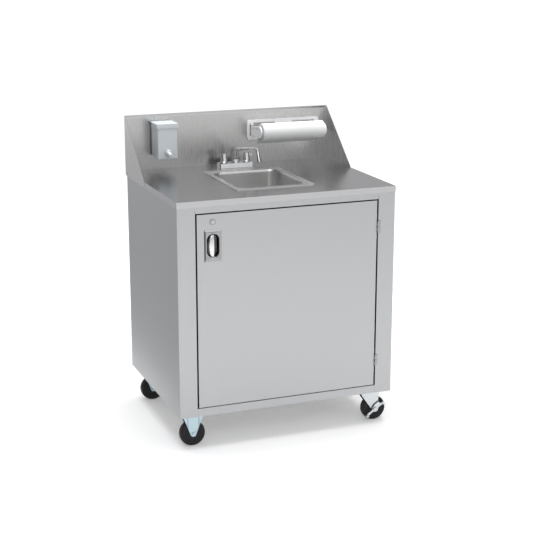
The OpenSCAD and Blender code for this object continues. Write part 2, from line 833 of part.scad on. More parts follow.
// A fluted knob with a short wing, on the stem at the middle of its own axes
module handle(wing) {
    color("lightgray") difference() {
        union() {
            cylinder(r1 = 17.5, r2 = 16, h = handle_skirt);
            translate([0, 0, handle_skirt]) cylinder(r1 = 15, r2 = 11.5, h = handle_h - handle_skirt);
            mirror_x(wing < 0) translate([0, 0, handle_h - 18]) hull() {
                block([0, -6, 0], [2, 6, 16]);
                block([26, -3.5, 4], [28, 3.5, 14]);
            }
        }
        for (k = [0:3]) rotate([0, 0, 45 + 90 * k])
            translate([21, 0, handle_skirt + 2]) cylinder(r = 9, h = handle_h);
        translate([0, 0, -cut]) cylinder(r = stem_r + run_gap, h = handle_h - 9 + cut);
        translate([0, 0, -cut]) cylinder(r = 14 + loose_gap, h = cut + 0.5);
    }
}

module placed_handle(side) {
    translate([side * handle_pitch / 2, fct_y, fct_top_z + 3 + loose_gap]) handle(side);
}

// ---- Water tanks, pump, heater and hoses ----

// A hollow tank with a neck near its back and a carrying handle in front of the neck
module tank(size, pos) {
    neck_y = pos.y + size.y / 2 - neck_inset;
    inner = size - 2 * tank_wall * [1, 1, 1];
    top = floor_z + size.z;
    post_y = [pos.y - size.y / 2 + 30, neck_y - 65];
    color("aliceblue") difference() {
        union() {
            translate([pos.x, pos.y, floor_z])
                rounded_plate(size.x, size.y, size.z, tank_corner_r);
            translate([pos.x, neck_y, top - cut]) cylinder(r = neck_r, h = neck_h + cut);
            for (y = post_y) block([pos.x - 10, y - 8, top - cut], [pos.x + 10, y + 8, top + 30]);
            block([pos.x - 10, post_y[0] - 8, top + 30], [pos.x + 10, post_y[1] + 8, top + 44]);
        }
        translate([pos.x, pos.y, floor_z + tank_wall])
            rounded_plate(inner.x, inner.y, inner.z, tank_corner_r - tank_wall);
        translate([pos.x, neck_y, top - 2 * tank_wall]) cylinder(r = neck_r - tank_wall, h = neck_h + 20);
    }
}

// A screw cap with a ribbed edge and a hole for its hose
module tank_cap(size, neck, hole_r) {
    translate([neck.x, neck.y, floor_z + size.z + neck_h + 3 - cap_h]) difference() {
        union() {
            cylinder(r = cap_r, h = cap_h);
            for (k = [0:17]) rotate([0, 0, 20 * k])
                translate([cap_r, 0, 1]) cylinder(r = 1.5, h = cap_h - 3, $fn = 16);
        }
        translate([0, 0, -cut]) cylinder(r = neck_r + run_gap, h = cap_h - 3 + cut);
        translate([0, 0, -cut]) cylinder(r = hole_r + run_gap, h = cap_h + 2 * cut);
    }
}

module tank_caps() {
    color("royalblue") {
        tank_cap(fresh_size, fresh_neck, hose_r);
        tank_cap(waste_size, waste_neck, drain_hose_r);
    }
}

// A diaphragm pump: motor, head and feet
module pump() {
    color("dimgray") translate([pump_pos.x, pump_pos.y, floor_z]) {
        for (x = [-60, 20]) block([x, -40, 0], [x + 18, 40, 8]);
        rod([-85, 0, 45], 38, 121, "x");
        block([35, -45, 8], [90, 45, 88]);
        block([-60, -25, 7], [-42, 25, 20]);
        block([20, -25, 7], [38, 25, 20]);
        for (s = [-1, 1]) translate([pump_port_dx, s * 25, 87]) cylinder(r = hose_r - 2, h = 22);
    }
}

// A small storage water heater with its two ports and a drip lip
module water_heater() {
    color("white") translate([heater_pos.x, heater_pos.y, floor_z]) {
        for (x = [-1, 1]) for (y = [-1, 1])
            translate([x * (heater_size.x / 2 - 30), y * (heater_size.y / 2 - 30), 0])
                cylinder(r = 12, h = 13);
        translate([0, 0, 12]) rounded_plate(heater_size.x, heater_size.y, heater_size.z - 12, 24);
        for (x = [-60, port_dx])
            translate([x, 0, heater_size.z - 1]) cylinder(r = hose_r - 2, h = 16);
    }
}

// Fresh tank to pump, pump to the cold shank with a branch to the heater, heater to the hot shank
module water_hoses() {
    rear_y = back_y - 32;
    dip = [fresh_neck.x, fresh_neck.y, floor_z + 40];
    suction_z = floor_z + fresh_size.z + neck_h + 90;
    pump_x = pump_pos.x + pump_port_dx;
    pump_z = floor_z + 109;
    heater_top = floor_z + heater_size.z + 15;
    shank_z = counter_z - shank_len;
    cold_z = shank_z - 70;
    hot_z = shank_z - 130;
    tee_z = heater_top + 110;
    out_y = pump_pos.y - 25;
    color("steelblue") {
        sweep_round(smooth_route([
            dip, [dip.x, dip.y, suction_z], [dip.x, rear_y, suction_z],
            [pump_x, rear_y, suction_z], [pump_x, pump_pos.y + 25, suction_z],
            [pump_x, pump_pos.y + 25, pump_z]
        ], 30, 4), hose_r);
        sweep_round(smooth_route([
            [pump_x, out_y, pump_z], [pump_x, out_y, cold_z], [pump_x, fct_y, cold_z],
            [handle_pitch / 2, fct_y, cold_z], [handle_pitch / 2, fct_y, shank_z]
        ], 30, 5), hose_r);
        sweep_round(smooth_route([
            [pump_x, out_y, tee_z], [pump_x, heater_pos.y, tee_z], [pump_x, heater_pos.y, heater_top]
        ], 30, 5), hose_r);
        sweep_round(smooth_route([
            [heater_pos.x - 60, heater_pos.y, heater_top], [heater_pos.x - 60, heater_pos.y, hot_z],
            [-handle_pitch / 2, fct_y, hot_z], [-handle_pitch / 2, fct_y, shank_z]
        ], 30, 5), hose_r);
    }
}

// ---- Electrical ----

// A flanged inlet with a recess and three blades, through the back panel
module power_inlet() {
    color("black") translate([box_pos.x, panel_y + sheet_t, box_pos.y]) {
        difference() {
            union() {
                block([-32, 0, -21], [32, 3, 21]);
                block([-26, -28, -15], [26, 1, 15]);
            }
            block([-21, -22, -11], [21, 4, 11]);
        }
        for (x = [-12, 12]) block([x - 1, -23, -4], [x + 1, -6, 4]);
        rod([0, -23, -6], 2, 17, "y");
    }
}

// The wiring box inside the back panel, and the cradle that holds the switch's axle
module switch_box() {
    wall = 2;
    x0 = box_pos.x - 45;
    z0 = box_pos.y - box_size.z / 2;
    rocker_x = box_pos.x + rocker_dx;
    color("gray") {
        difference() {
            block([x0, panel_y - box_size.y, z0], [x0 + box_size.x, panel_y, z0 + box_size.z]);
            block([x0 + wall, panel_y - box_size.y + wall, z0 + wall],
                  [x0 + box_size.x - wall, panel_y + cut, z0 + box_size.z - wall]);
        }
        difference() {
            block([rocker_x - 10, panel_y - 12, box_pos.y - 17], [rocker_x + 10, panel_y, box_pos.y + 17]);
            block([rocker_x - 7, panel_y - 9.5, box_pos.y - 13],
                  [rocker_x + 7, panel_y + cut, box_pos.y + 13]);
            rod([rocker_x - 11, rocker_y, box_pos.y], 1.5 + run_gap, 22, "x");
        }
    }
}

// The rocker of the pump switch turns on an axle along X, in the panel's slot
module rocker_switch() {
    color("firebrick") translate([box_pos.x + rocker_dx, rocker_y, box_pos.y]) {
        rod([-9, 0, 0], 1.5, 18, "x");
        rotate([8, 0, 0]) translate([-6, 0, 0]) rotate([90, 0, 90]) linear_extrude(12) polygon([
            [-2, -6], [-2, 6], [6, 9], [9.5, 9], [7.5, 0], [9.5, -9], [6, -9]
        ]);
    }
}

// ---- Soap dispenser ----

// The open-topped soap tank, on two pads against the backsplash
module soap_tank() {
    tank_h = soap_h - lid_t - loose_gap;
    w = soap_w - 6;
    color("honeydew") difference() {
        union() {
            translate([soap_cx, soap_front_y + soap_d / 2, soap_z0]) rounded_plate(w, soap_d - 6, tank_h, 6);
            for (z = [18, soap_h - 52])
                block([soap_cx - 24, soap_back_y - 5, soap_z0 + z], [soap_cx + 24, wall_y, soap_z0 + z + 14]);
            for (s = [-1, 1])
                block([soap_cx + s * 32 - 2, lid_axis_y - 3, soap_z1 - 20],
                      [soap_cx + s * 32 + 2, lid_axis_y + 3, soap_z1]);
            on_valve() translate([0, 0, -8]) cylinder(r = valve_r + 1, h = 8 + valve_seat);
        }
        translate([soap_cx, soap_front_y + soap_d / 2, soap_z0 + soap_wall])
            rounded_plate(w - 2 * soap_wall, soap_d - 6 - 2 * soap_wall, soap_h, 4);
        on_valve() translate([0, 0, -30]) cylinder(r = valve_r - 4 + run_gap, h = 40);
        rod([soap_cx - soap_w, lid_axis_y, lid_axis_z], 1.5 + run_gap, 2 * soap_w, "x");
    }
}

// The lid, with a skirt on three sides, hinged at its back edge
module soap_lid() {
    z0 = soap_z1 - lid_t;
    x = soap_w / 2;
    color("honeydew") {
        difference() {
            block([soap_cx - x, soap_front_y, z0], [soap_cx + x, lid_axis_y, soap_z1]);
            for (s = [-1, 1])
                block([soap_cx + s * 32 - 2.5, lid_axis_y - 4, z0 - cut],
                      [soap_cx + s * 32 + 2.5, lid_axis_y + cut, soap_z1 + cut]);
        }
        for (s = [-1, 1])
            block([soap_cx + s * x - (s > 0 ? soap_wall : 0), soap_front_y, z0 - lid_skirt],
                  [soap_cx + s * x + (s > 0 ? 0 : soap_wall), lid_axis_y - 22, z0 + cut]);
        block([soap_cx - x, soap_front_y, z0 - lid_skirt], [soap_cx + x, soap_front_y + soap_wall, z0 + cut]);
        rod([soap_cx - 36, lid_axis_y, lid_axis_z], 1.5, 72, "x");
    }
}

// Places its children on the valve's axis, with +Z pointing out of the tank
module on_valve() {
    translate([soap_cx, soap_front_y + 3, valve_z]) rotate([90 + plunger_tilt, 0, 0]) children();
}

// The valve's bushing, screwed through the front of the tank
module soap_valve() {
    color("white") on_valve() difference() {
        union() {
            translate([0, 0, valve_seat]) cylinder(r = valve_r, h = valve_len + 1 - valve_seat);
            translate([0, 0, -16]) cylinder(r = valve_r - 4, h = 20);
        }
        translate([0, 0, -14]) cylinder(r = 4 + run_gap, h = 20);
        translate([0, 0, 4]) cylinder(r = plunger_r + run_gap, h = valve_len + 2);
    }
}

// The push nozzle, which slides in and springs back
module soap_plunger() {
    color("white") on_valve() {
        translate([0, 0, valve_len - 1]) cylinder(r = plunger_r, h = plunger_out - 4);
        translate([0, 0, valve_len + plunger_out - 5.5])
            cylinder(r1 = plunger_r, r2 = plunger_r - 1.5, h = 4);
        translate([0, 0, 2]) cylinder(r = 4, h = valve_len);
    }
}

// ---- Towel holder ----

// The wall frame: a ring with a middle web and the ears for the arms' pins
module towel_bracket() {
    window = [(towel_w - 2 * frame_bar - 78) / 2, towel_h - 2 * frame_bar];
    color("white") translate([towel_cx, wall_y, towel_z0 + towel_h / 2]) {
        difference() {
            rotate([90, 0, 0]) difference() {
                rounded_plate(towel_w, towel_h, frame_t, 12);
                for (s = [-1, 1]) translate([s * (window.x + 78) / 2, 0, -cut])
                    rounded_plate(window.x, window.y, frame_t + 2 * cut, 8);
            }
        }
        for (s = [-1, 1]) for (e = [-1, 1]) difference() {
            block([s * arm_x - arm_t / 2 - 2, arm_pin_y - wall_y - 5, e * 27 - 3.5],
                  [s * arm_x + arm_t / 2 + 2, -frame_t + cut, e * 27 + 3.5]);
            translate([s * arm_x, arm_pin_y - wall_y, e * 27 - 5])
                cylinder(r = arm_pin_r + run_gap, h = 10);
        }
    }
}

// An arm for the left end of the roll: pin barrel, plate, end pad and the hub in the roll
module towel_arm() {
    z = roll_z;
    mid = towel_z0 + towel_h / 2;
    color("white") {
        difference() {
            union() {
                rotate([90, 0, 90]) translate([0, 0, -arm_t / 2]) linear_extrude(arm_t) polygon(concat(
                    [[arm_pin_y, mid - 20], [arm_pin_y, mid + 20]],
                    [for (a = [70:20:290]) [roll_y + hub_pad_r * cos(a), z + hub_pad_r * sin(a)]]
                ));
                translate([0, arm_pin_y, mid - 23]) cylinder(r = arm_t / 2 + 1, h = 46);
            }
            for (e = [0, 1]) rotate([90, 0, 90]) translate([0, 0, e * arm_t - arm_t / 2 - (e ? 1.5 : 3)])
                linear_extrude(4.5) polygon([
                    [arm_pin_y - 10, mid - 13], [arm_pin_y - 10, mid + 13],
                    [roll_y + 24, z + 15], [roll_y + 24, z - 13]
                ]);
        }
        translate([0, arm_pin_y, mid - 30]) cylinder(r = arm_pin_r, h = 60);
        rod([arm_t / 2 - cut, roll_y, z], roll_hub_r, roll_hub_len - 2 + cut, "x");
    }
}

// The wound paper on its core
module paper_roll() {
    color("white") difference() {
        rod([towel_cx - roll_l / 2, roll_y, roll_z], roll_r, roll_l, "x");
        rod([towel_cx - roll_l / 2 - cut, roll_y, roll_z], core_r, roll_l + 2 * cut, "x");
    }
}

// The loose end of the paper, which hangs behind the roll and curls away from it
module paper_tail() {
    y0 = roll_y + roll_r + loose_gap;
    curl = 17;
    steps = 6;
    front = [for (k = [0:steps]) [y0 + curl * pow(k / steps, 2), roll_z - tail_drop * k / steps]];
    rear = [for (k = [steps:-1:0]) front[k] + [paper_t, 0]];
    color("white") translate([towel_cx - roll_l / 2, 0, 0]) rotate([90, 0, 90]) linear_extrude(roll_l)
        polygon(concat(front, rear));
}

// ---- Casters ----

// Places its children at the bolt holes of all four casters, at the level of the base pan
module caster_bolt_pattern() {
    for (x = fork_x) for (y = fork_y) for (i = [-1, 1]) for (j = [-1, 1])
        translate([x + i * bolt_pitch.x / 2, y + j * bolt_pitch.y / 2, caster_h + sheet_t / 2])
            children();
}

module caster_plate() {
    translate([0, 0, caster_h - plate_t]) difference() {
        rounded_plate(plate_size.x, plate_size.y, plate_t, 6);
        for (i = [-1, 1]) for (j = [-1, 1])
            translate([i * bolt_pitch.x / 2, j * bolt_pitch.y / 2, -cut])
                cylinder(r = bolt_r + 0.3, h = plate_t + 2 * cut);
    }
}

// One leg of a fork, from a wide top to a round end at the axle, standing at y = 0
module fork_leg(top_x, top_w, top_z, axle_x) {
    difference() {
        rotate([90, 0, 0]) linear_extrude(leg_t) hull() {
            translate([top_x - top_w / 2, top_z - 12]) square([top_w, 12]);
            translate([axle_x, axle_z]) circle(r = 12, $fn = 32);
        }
        rod([axle_x, -2 * leg_t, axle_z], axle_r + run_gap, 3 * leg_t, "y");
    }
}

// A rigid caster's frame: the plate with both legs folded down, notched round the bolt heads
module rigid_fork() {
    caster_plate();
    difference() {
        for (s = [0, 1])
            translate([0, s == 0 ? -leg_y : leg_y + leg_t, 0])
                fork_leg(0, 86, caster_h - plate_t + 0.5, 0);
        for (i = [-1, 1]) for (j = [-1, 1])
            translate([i * bolt_pitch.x / 2, j * bolt_pitch.y / 2, caster_h - plate_t - bolt_head_h - cut])
                cylinder(r = bolt_head_r + loose_gap, h = bolt_head_h + 2 * cut);
    }
}

module rigid_forks() {
    color("lightsteelblue") for (y = fork_y) translate([fork_x[0], y, 0]) rigid_fork();
}

// A moulded wheel with a raised hub and a rounded tread, turning about Y
module wheel() {
    color([0.09, 0.09, 0.1]) translate([0, 0, axle_z]) rotate([90, 0, 0]) difference() {
        rotate_extrude($fn = 72) polygon([
            [axle_r + run_gap, -hub_w / 2], [11, -hub_w / 2], [13, -wheel_w / 2 + 4],
            [30, -wheel_w / 2 + 4], [35, -wheel_w / 2], [wheel_d / 2 - 5, -wheel_w / 2],
            [wheel_d / 2 - 1.4, -wheel_w / 2 + 3], [wheel_d / 2, -wheel_w / 2 + 9],
            [wheel_d / 2, wheel_w / 2 - 9], [wheel_d / 2 - 1.4, wheel_w / 2 - 3],
            [wheel_d / 2 - 5, wheel_w / 2], [35, wheel_w / 2], [30, wheel_w / 2 - 4],
            [13, wheel_w / 2 - 4], [11, hub_w / 2], [axle_r + run_gap, hub_w / 2]
        ]);
    }
}

// The axle bolt with a head and a nut; a longer stud on one side carries a brake lever
module axle(stud = 0) {
    half = leg_y + leg_t;
    color("lightsteelblue") {
        rod([0, -half - stud, axle_z], axle_r, 2 * half + stud + 6, "y");
        translate([0, -half, axle_z]) rotate([90, 0, 0]) cylinder(r = 8, h = 5, $fn = 6);
        translate([0, half + 6, axle_z]) rotate([90, 0, 0]) cylinder(r = 8, h = 6, $fn = 6);
        if (stud > 0)
            translate([0, -half - stud + 5, axle_z]) rotate([90, 0, 0]) cylinder(r = 9, h = 5);
    }
}

// The swivel casters' fixed half: plate, upper race, king pin and its riveted head
module swivel_plates() {
    color("lightsteelblue") for (y = fork_y) translate([fork_x[1], y, 0]) {
        caster_plate();
        translate([0, 0, crown_z + loose_gap]) cylinder(r = race_r, h = race_h + cut / 2);
        translate([0, 0, crown_z - 12]) cylinder(r = 6, h = 16);
        translate([0, 0, crown_z - 10 - loose_gap - 4]) cylinder(r = 10, h = 4);
    }
}

// The turning fork, whose legs sweep from the race to the axle
module swivel_fork() {
    color("lightsteelblue") difference() {
        union() {
            translate([0, 0, crown_z - 7]) cylinder(r = race_r + 4, h = 7);
            block([-38, -leg_y - leg_t, crown_z - 10], [42, leg_y + leg_t, crown_z - 6]);
            for (s = [0, 1])
                translate([0, s == 0 ? -leg_y : leg_y + leg_t, 0])
                    fork_leg(2, 80, crown_z - 6.5, trail);
        }
        translate([0, 0, crown_z - 20]) cylinder(r = 6 + run_gap, h = 30);
    }
}

// A side brake: a lever on the axle's stud, with a pedal at each end
module brake() {
    y = -(leg_y + leg_t + 5 + loose_gap);
    color("lightsteelblue") translate([0, y, axle_z]) rotate([0, -35, 0]) difference() {
        union() {
            rotate([90, 0, 0]) cylinder(r = 13, h = brake_t);
            block([-42, -brake_t, -5], [40, 0, 5]);
            block([-50, -brake_t - 9, -6], [-41, 0, 6]);
            block([38, -brake_t - 9, -8], [47, 0, 8]);
            block([4, -brake_t, 4], [30, 0, 16]);
        }
        translate([0, 2, 0]) rotate([90, 0, 0]) cylinder(r = axle_r + run_gap, h = 3 * brake_t);
    }
}

// The bolts of all four caster plates, with nuts inside the cabinet, and the rigid pair's axles
module caster_bolts() {
    color("gray") caster_bolt_pattern() {
        translate([0, 0, -sheet_t / 2 - plate_t - bolt_head_h])
            cylinder(r = bolt_head_r, h = bolt_head_h, $fn = 6);
        translate([0, 0, -sheet_t / 2 - plate_t - 1]) cylinder(r = bolt_r - 0.05, h = plate_t + sheet_t + 8);
        translate([0, 0, sheet_t / 2]) cylinder(r = bolt_head_r, h = 5, $fn = 6);
    }
    for (y = fork_y) translate([fork_x[0], y, 0]) axle();
}

// Places its children at a swivel caster: row 0 is the front and row 1 the rear
module at_swivel(row, x = 0) {
    translate([fork_x[1] + x, fork_y[row], 0]) mirror([0, row, 0]) children();
}

side_panel();  // side_panel_left
mirror_x(true) side_panel();  // side_panel_right
back_panel();
base_pan();
top_rail();
bottom_rail();
countertop();
backsplash();
side_splash();  // splash_left
mirror_x(true) side_splash();  // splash_right
panel_screws();
door_skin();
door_liner();
pull_handle();
lock_housing();
lock_plug();
hinge_frame_leaves();
hinge_door_leaves();
hinge_pins();
sink_bowl();
drain_body();
strainer_basket();
drain_hose();
faucet_body();
faucet_nuts();
spout();
aerator();
placed_handle(-1);  // hot_handle
placed_handle(1);  // cold_handle
tank(fresh_size, fresh_pos);  // fresh_tank
tank(waste_size, waste_pos);  // waste_tank
tank_caps();
pump();
water_heater();
water_hoses();
power_inlet();
switch_box();
rocker_switch();
soap_tank();
soap_lid();
soap_valve();
soap_plunger();
towel_bracket();
translate([towel_cx - arm_x, 0, 0]) towel_arm();  // towel_arm_left
translate([towel_cx + arm_x, 0, 0]) mirror_x(true) towel_arm();  // towel_arm_right
paper_roll();
paper_tail();
rigid_forks();
translate([fork_x[0], fork_y[0], 0]) wheel();  // front_left_wheel
translate([fork_x[0], fork_y[1], 0]) wheel();  // rear_left_wheel
caster_bolts();
swivel_plates();
at_swivel(0) swivel_fork();  // front_right_fork
at_swivel(0, trail) wheel();  // front_right_wheel
at_swivel(0, trail) axle(brake_stud);  // front_right_axle
at_swivel(0, trail) brake();  // front_right_brake
at_swivel(1) swivel_fork();  // rear_right_fork
at_swivel(1, trail) wheel();  // rear_right_wheel
at_swivel(1, trail) axle(brake_stud);  // rear_right_axle
at_swivel(1, trail) brake();  // rear_right_brake
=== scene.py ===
import json
import math
import bmesh
import bpy
from mathutils import Matrix, Vector

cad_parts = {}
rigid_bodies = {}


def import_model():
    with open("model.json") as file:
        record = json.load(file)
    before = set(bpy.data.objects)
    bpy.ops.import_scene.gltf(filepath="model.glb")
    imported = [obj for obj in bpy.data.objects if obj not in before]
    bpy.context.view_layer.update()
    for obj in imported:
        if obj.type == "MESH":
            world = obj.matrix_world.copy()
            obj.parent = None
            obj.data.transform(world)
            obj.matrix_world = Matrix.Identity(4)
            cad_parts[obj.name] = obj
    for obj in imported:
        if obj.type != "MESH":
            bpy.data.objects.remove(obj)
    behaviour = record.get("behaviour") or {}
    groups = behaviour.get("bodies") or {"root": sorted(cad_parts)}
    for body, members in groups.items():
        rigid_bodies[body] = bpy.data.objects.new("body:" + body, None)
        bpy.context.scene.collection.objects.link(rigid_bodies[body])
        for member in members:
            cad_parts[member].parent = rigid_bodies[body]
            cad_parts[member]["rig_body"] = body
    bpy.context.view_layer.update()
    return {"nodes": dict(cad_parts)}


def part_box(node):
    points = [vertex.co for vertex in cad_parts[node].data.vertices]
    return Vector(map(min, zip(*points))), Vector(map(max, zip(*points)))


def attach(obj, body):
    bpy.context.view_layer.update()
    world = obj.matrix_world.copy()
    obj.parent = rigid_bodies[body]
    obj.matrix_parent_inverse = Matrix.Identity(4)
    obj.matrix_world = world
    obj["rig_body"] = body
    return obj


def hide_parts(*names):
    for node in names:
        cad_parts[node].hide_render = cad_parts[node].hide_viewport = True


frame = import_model()

# ---- Camera, floor and light
# The camera stands to the left of the front and a little above the counter. The floor is a plain
# white sheet under one wide overhead soft box, with a smaller one in front. A grey card on the floor
# at the left and two black flags in front of the backsplash are seen only in the metal. The camera
# sees one plain backdrop, and the metal sees a sky that darkens toward the back and the sides.
aim = Vector((0.041, 0, 0.628))
camera_distance = 5.546
camera_turn = math.radians(-21.1)
camera_tilt = math.radians(90 - 14.82)
view_line = Matrix.Rotation(camera_turn, 3, "Z") @ Matrix.Rotation(camera_tilt, 3, "X") @ Vector((0, 0, 1))
bpy.ops.object.camera_add(location=aim + camera_distance * view_line, rotation=(camera_tilt, 0, camera_turn))
camera = bpy.context.object
camera.data.lens = 89.2
camera.data.sensor_width = 36
bpy.context.scene.camera = camera


def deselect():
    bpy.ops.object.select_all(action="DESELECT")


def softbox(name, place, size, power, toward):
    """A rectangular lamp at a place, turned toward a point."""
    deselect()
    bpy.ops.object.light_add(type="AREA", location=place)
    lamp = bpy.context.object
    lamp.name = name
    lamp.data.shape = "RECTANGLE"
    lamp.data.size, lamp.data.size_y = size
    lamp.data.energy = power
    lamp.rotation_euler = (Vector(toward) - Vector(place)).to_track_quat("-Z", "Y").to_euler()
    return lamp


overhead = softbox("overhead_softbox", (0.1, 0.2, 3.6), (3.2, 3.2), 135, (0.1, 0, 0))
overhead.visible_glossy = False
softbox("front_softbox", (-1.6, -4.6, 3.6), (2.2, 1.6), 30, (0, 0, 0.8))
world = bpy.data.worlds.new("studio")
bpy.context.scene.world = world
world.use_nodes = True
sky = world.node_tree
sky_direction = sky.nodes.new("ShaderNodeTexCoord").outputs["Generated"]
sky_axes = sky.nodes.new("ShaderNodeSeparateXYZ")
sky_front, sky_back, sky_side = 0.86, 0.55, 0.10
sky_tint = (0.985, 0.99, 1.0, 1)


def sky_range(axis, low, high, at_low, at_high):
    """A number that runs from at_low to at_high as the direction's axis runs from low to high."""
    level = sky.nodes.new("ShaderNodeMapRange")
    for name, value in (("From Min", low), ("From Max", high), ("To Min", at_low), ("To Max", at_high)):
        level.inputs[name].default_value = value
    sky.links.new(axis, level.inputs["Value"])
    return level.outputs[0]


def sky_math(operation, first, second=None):
    """A Math node on one or two numbers of the sky."""
    made = sky.nodes.new("ShaderNodeMath")
    made.operation = operation
    sky.links.new(first, made.inputs[0])
    if second:
        sky.links.new(second, made.inputs[1])
    return made.outputs[0]


sky.links.new(sky_direction, sky_axes.inputs[0])
front_to_back = sky_range(sky_axes.outputs["Y"], -0.9, 0.75, sky_front, sky_back)
to_the_sides = sky_range(sky_math("ABSOLUTE", sky_axes.outputs["X"]), 0.72, 0.86, 1.0, sky_side)
backdrop = sky.nodes.new("ShaderNodeMix")
backdrop.inputs["B"].default_value = sky_front
sky.links.new(sky.nodes.new("ShaderNodeLightPath").outputs["Is Camera Ray"], backdrop.inputs["Factor"])
sky.links.new(sky_math("MULTIPLY", front_to_back, to_the_sides), backdrop.inputs["A"])
sky.links.new(backdrop.outputs["Result"], sky.nodes["Background"].inputs["Strength"])
sky.nodes["Background"].inputs["Color"].default_value = sky_tint
bpy.context.scene.view_settings.view_transform = "Standard"


class Number:
    """The output of a shader node; arithmetic on it adds Math nodes."""

    def __init__(self, finish, socket):
        self.finish = finish
        self.socket = socket

    def reckon(self, operation, first, second):
        return self.finish.node("ShaderNodeMath", {"operation": operation}, {0: first, 1: second})

    def __add__(self, other):
        return self.reckon("ADD", self, other)

    def __radd__(self, other):
        return self.reckon("ADD", other, self)

    def __sub__(self, other):
        return self.reckon("SUBTRACT", self, other)

    def __rsub__(self, other):
        return self.reckon("SUBTRACT", other, self)

    def __mul__(self, other):
        return self.reckon("MULTIPLY", self, other)

    def __rmul__(self, other):
        return self.reckon("MULTIPLY", other, self)


class Finish:
    """A material, with the fixed values of its shader given by name."""

    def __init__(self, name, **fixed):
        self.material = bpy.data.materials.new(name)
        self.material.use_nodes = True
        self.tree = self.material.node_tree
        self.shader = self.tree.nodes["Principled BSDF"]
        for words, value in fixed.items():
            self.plug(self.shader.inputs[words.replace("_", " ")], value)

    def plug(self, target, value):
        if isinstance(value, Number):
            self.tree.links.new(value.socket, target)
        elif isinstance(value, tuple) and len(value) == 3 and target.type == "RGBA":
            target.default_value = (*value, 1)
        else:
            target.default_value = value

    def node(self, kind, settings=None, inputs=None, out=0):
        made = self.tree.nodes.new(kind)
        for key, value in (settings or {}).items():
            if key == "stops":
                for stop, (place, colour) in zip(made.color_ramp.elements, value):
                    stop.position = place
                    stop.color = (*colour, 1)
            else:
                setattr(made, key, value)
        for key, value in (inputs or {}).items():
            self.plug(made.inputs[key], value)
        return Number(self, made.outputs[out])

    def feed(self, **links):
        for words, value in links.items():
            self.plug(self.shader.inputs[words.replace("_", " ")], value)

    def place(self, stretch=(1, 1, 1), centre=(0, 0, 0)):
        where = self.node("ShaderNodeTexCoord", out=3)
        shifted = self.node("ShaderNodeVectorMath", {"operation": "SUBTRACT"}, {0: where, 1: centre})
        return self.node("ShaderNodeVectorMath", {"operation": "MULTIPLY"}, {0: shifted, 1: stretch})

    def noise(self, scale, stretch=(1, 1, 1), detail=3, roughness=0.5):
        return self.node("ShaderNodeTexNoise", {}, {
            "Vector": self.place(stretch), "Scale": scale, "Detail": detail, "Roughness": roughness})

    def blend(self, amount, low, high):
        return self.node("ShaderNodeMix", {"data_type": "RGBA"}, {"Factor": amount, 6: low, 7: high}, out=2)

    def bump(self, height, strength, distance):
        return self.node("ShaderNodeBump", {}, {"Height": height, "Strength": strength, "Distance": distance})


# The floor glows more with its distance from the cabinet, so that it goes to plain white.
floor_finish = Finish("white_floor", Roughness=0.9, Emission_Strength=1.0)
floor_shade = floor_finish.noise(0.6, detail=2)
away = floor_finish.node("ShaderNodeVectorMath", {"operation": "LENGTH"}, {0: floor_finish.place()}, out=1)
glow = floor_finish.node("ShaderNodeMapRange", {"interpolation_type": "SMOOTHSTEP"}, {
    "Value": away, "From Min": 0.8, "From Max": 3.0, "To Min": 0.22, "To Max": 0.50})
floor_finish.feed(Base_Color=floor_finish.blend(floor_shade, (0.84, 0.84, 0.845), (0.86, 0.86, 0.86)),
                  Emission_Color=floor_finish.blend(glow, (0, 0, 0), (1, 1, 1)))
deselect()
floor_width = 140
bpy.ops.mesh.primitive_plane_add(size=floor_width)
floor = bpy.context.object
floor.name = "floor"
floor.data.materials.append(floor_finish.material)

card_finish = Finish("grey_card", Base_Color=(0, 0, 0), Roughness=1.0,
                     Emission_Color=(0.55, 0.55, 0.567), Emission_Strength=1.0)
card_place, card_size = (-2.9, 3.6, 0.004), (4.5, 8.4, 1)
deselect()
bpy.ops.mesh.primitive_plane_add(size=1, location=card_place)
card = bpy.context.object
card.name = "grey_card"
card.scale = card_size
card.data.materials.append(card_finish.material)
flag_finish = Finish("black_flag", Base_Color=(0, 0, 0), Roughness=1.0, Specular_IOR_Level=0.0)
flags = []
flag_size, flag_ahead, flag_level = (0.30, 1.3, 1), -0.75, 1.75
for side, flag_x, flag_turn in (("left", -0.95, -40), ("right", 1.05, 40)):
    deselect()
    bpy.ops.mesh.primitive_plane_add(
        size=1, location=(flag_x, flag_ahead, flag_level),
        rotation=(math.radians(90), 0, math.radians(flag_turn)))
    flag = bpy.context.object
    flag.name = "black_flag_" + side
    flag.scale = flag_size
    flag.data.materials.append(flag_finish.material)
    flags.append(flag)
for sheet in (card, *flags):
    sheet.visible_camera = False
    sheet.visible_diffuse = False
    sheet.visible_transmission = False
    sheet.visible_shadow = False


def steel(name, colour, rough, grain, mark=0.05, bump=0.05):
    """Satin stainless whose grain runs along the axis in which grain is small."""
    finish = Finish(name, Metallic=1.0)
    fine = finish.noise(1.0, grain, detail=4, roughness=0.6)
    cloud = finish.noise(2.2, detail=3)
    tone = tuple(c * 0.90 for c in colour)
    finish.feed(
        Base_Color=finish.blend(fine * 0.6 + cloud * 0.4, tone, colour),
        Roughness=rough + (fine - 0.5) * 0.10 + (cloud - 0.5) * mark,
        Normal=finish.bump(fine, bump, 0.0004))
    return finish.material


def repaint(piece, material):
    """Leaves a piece with one material."""
    piece.data.materials.clear()
    piece.data.materials.append(material)


def coat(piece, material, wanted):
    """Gives one more material to the faces for which wanted(face) is true."""
    piece.data.materials.append(material)
    for face in piece.data.polygons:
        if wanted(face):
            face.material_index = len(piece.data.materials) - 1


def settle(piece, node, material):
    """Gives a finished piece its material and its body, and hides the part that it stands for."""
    repaint(piece, material)
    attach(piece, frame["nodes"][node]["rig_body"])
    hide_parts(node)


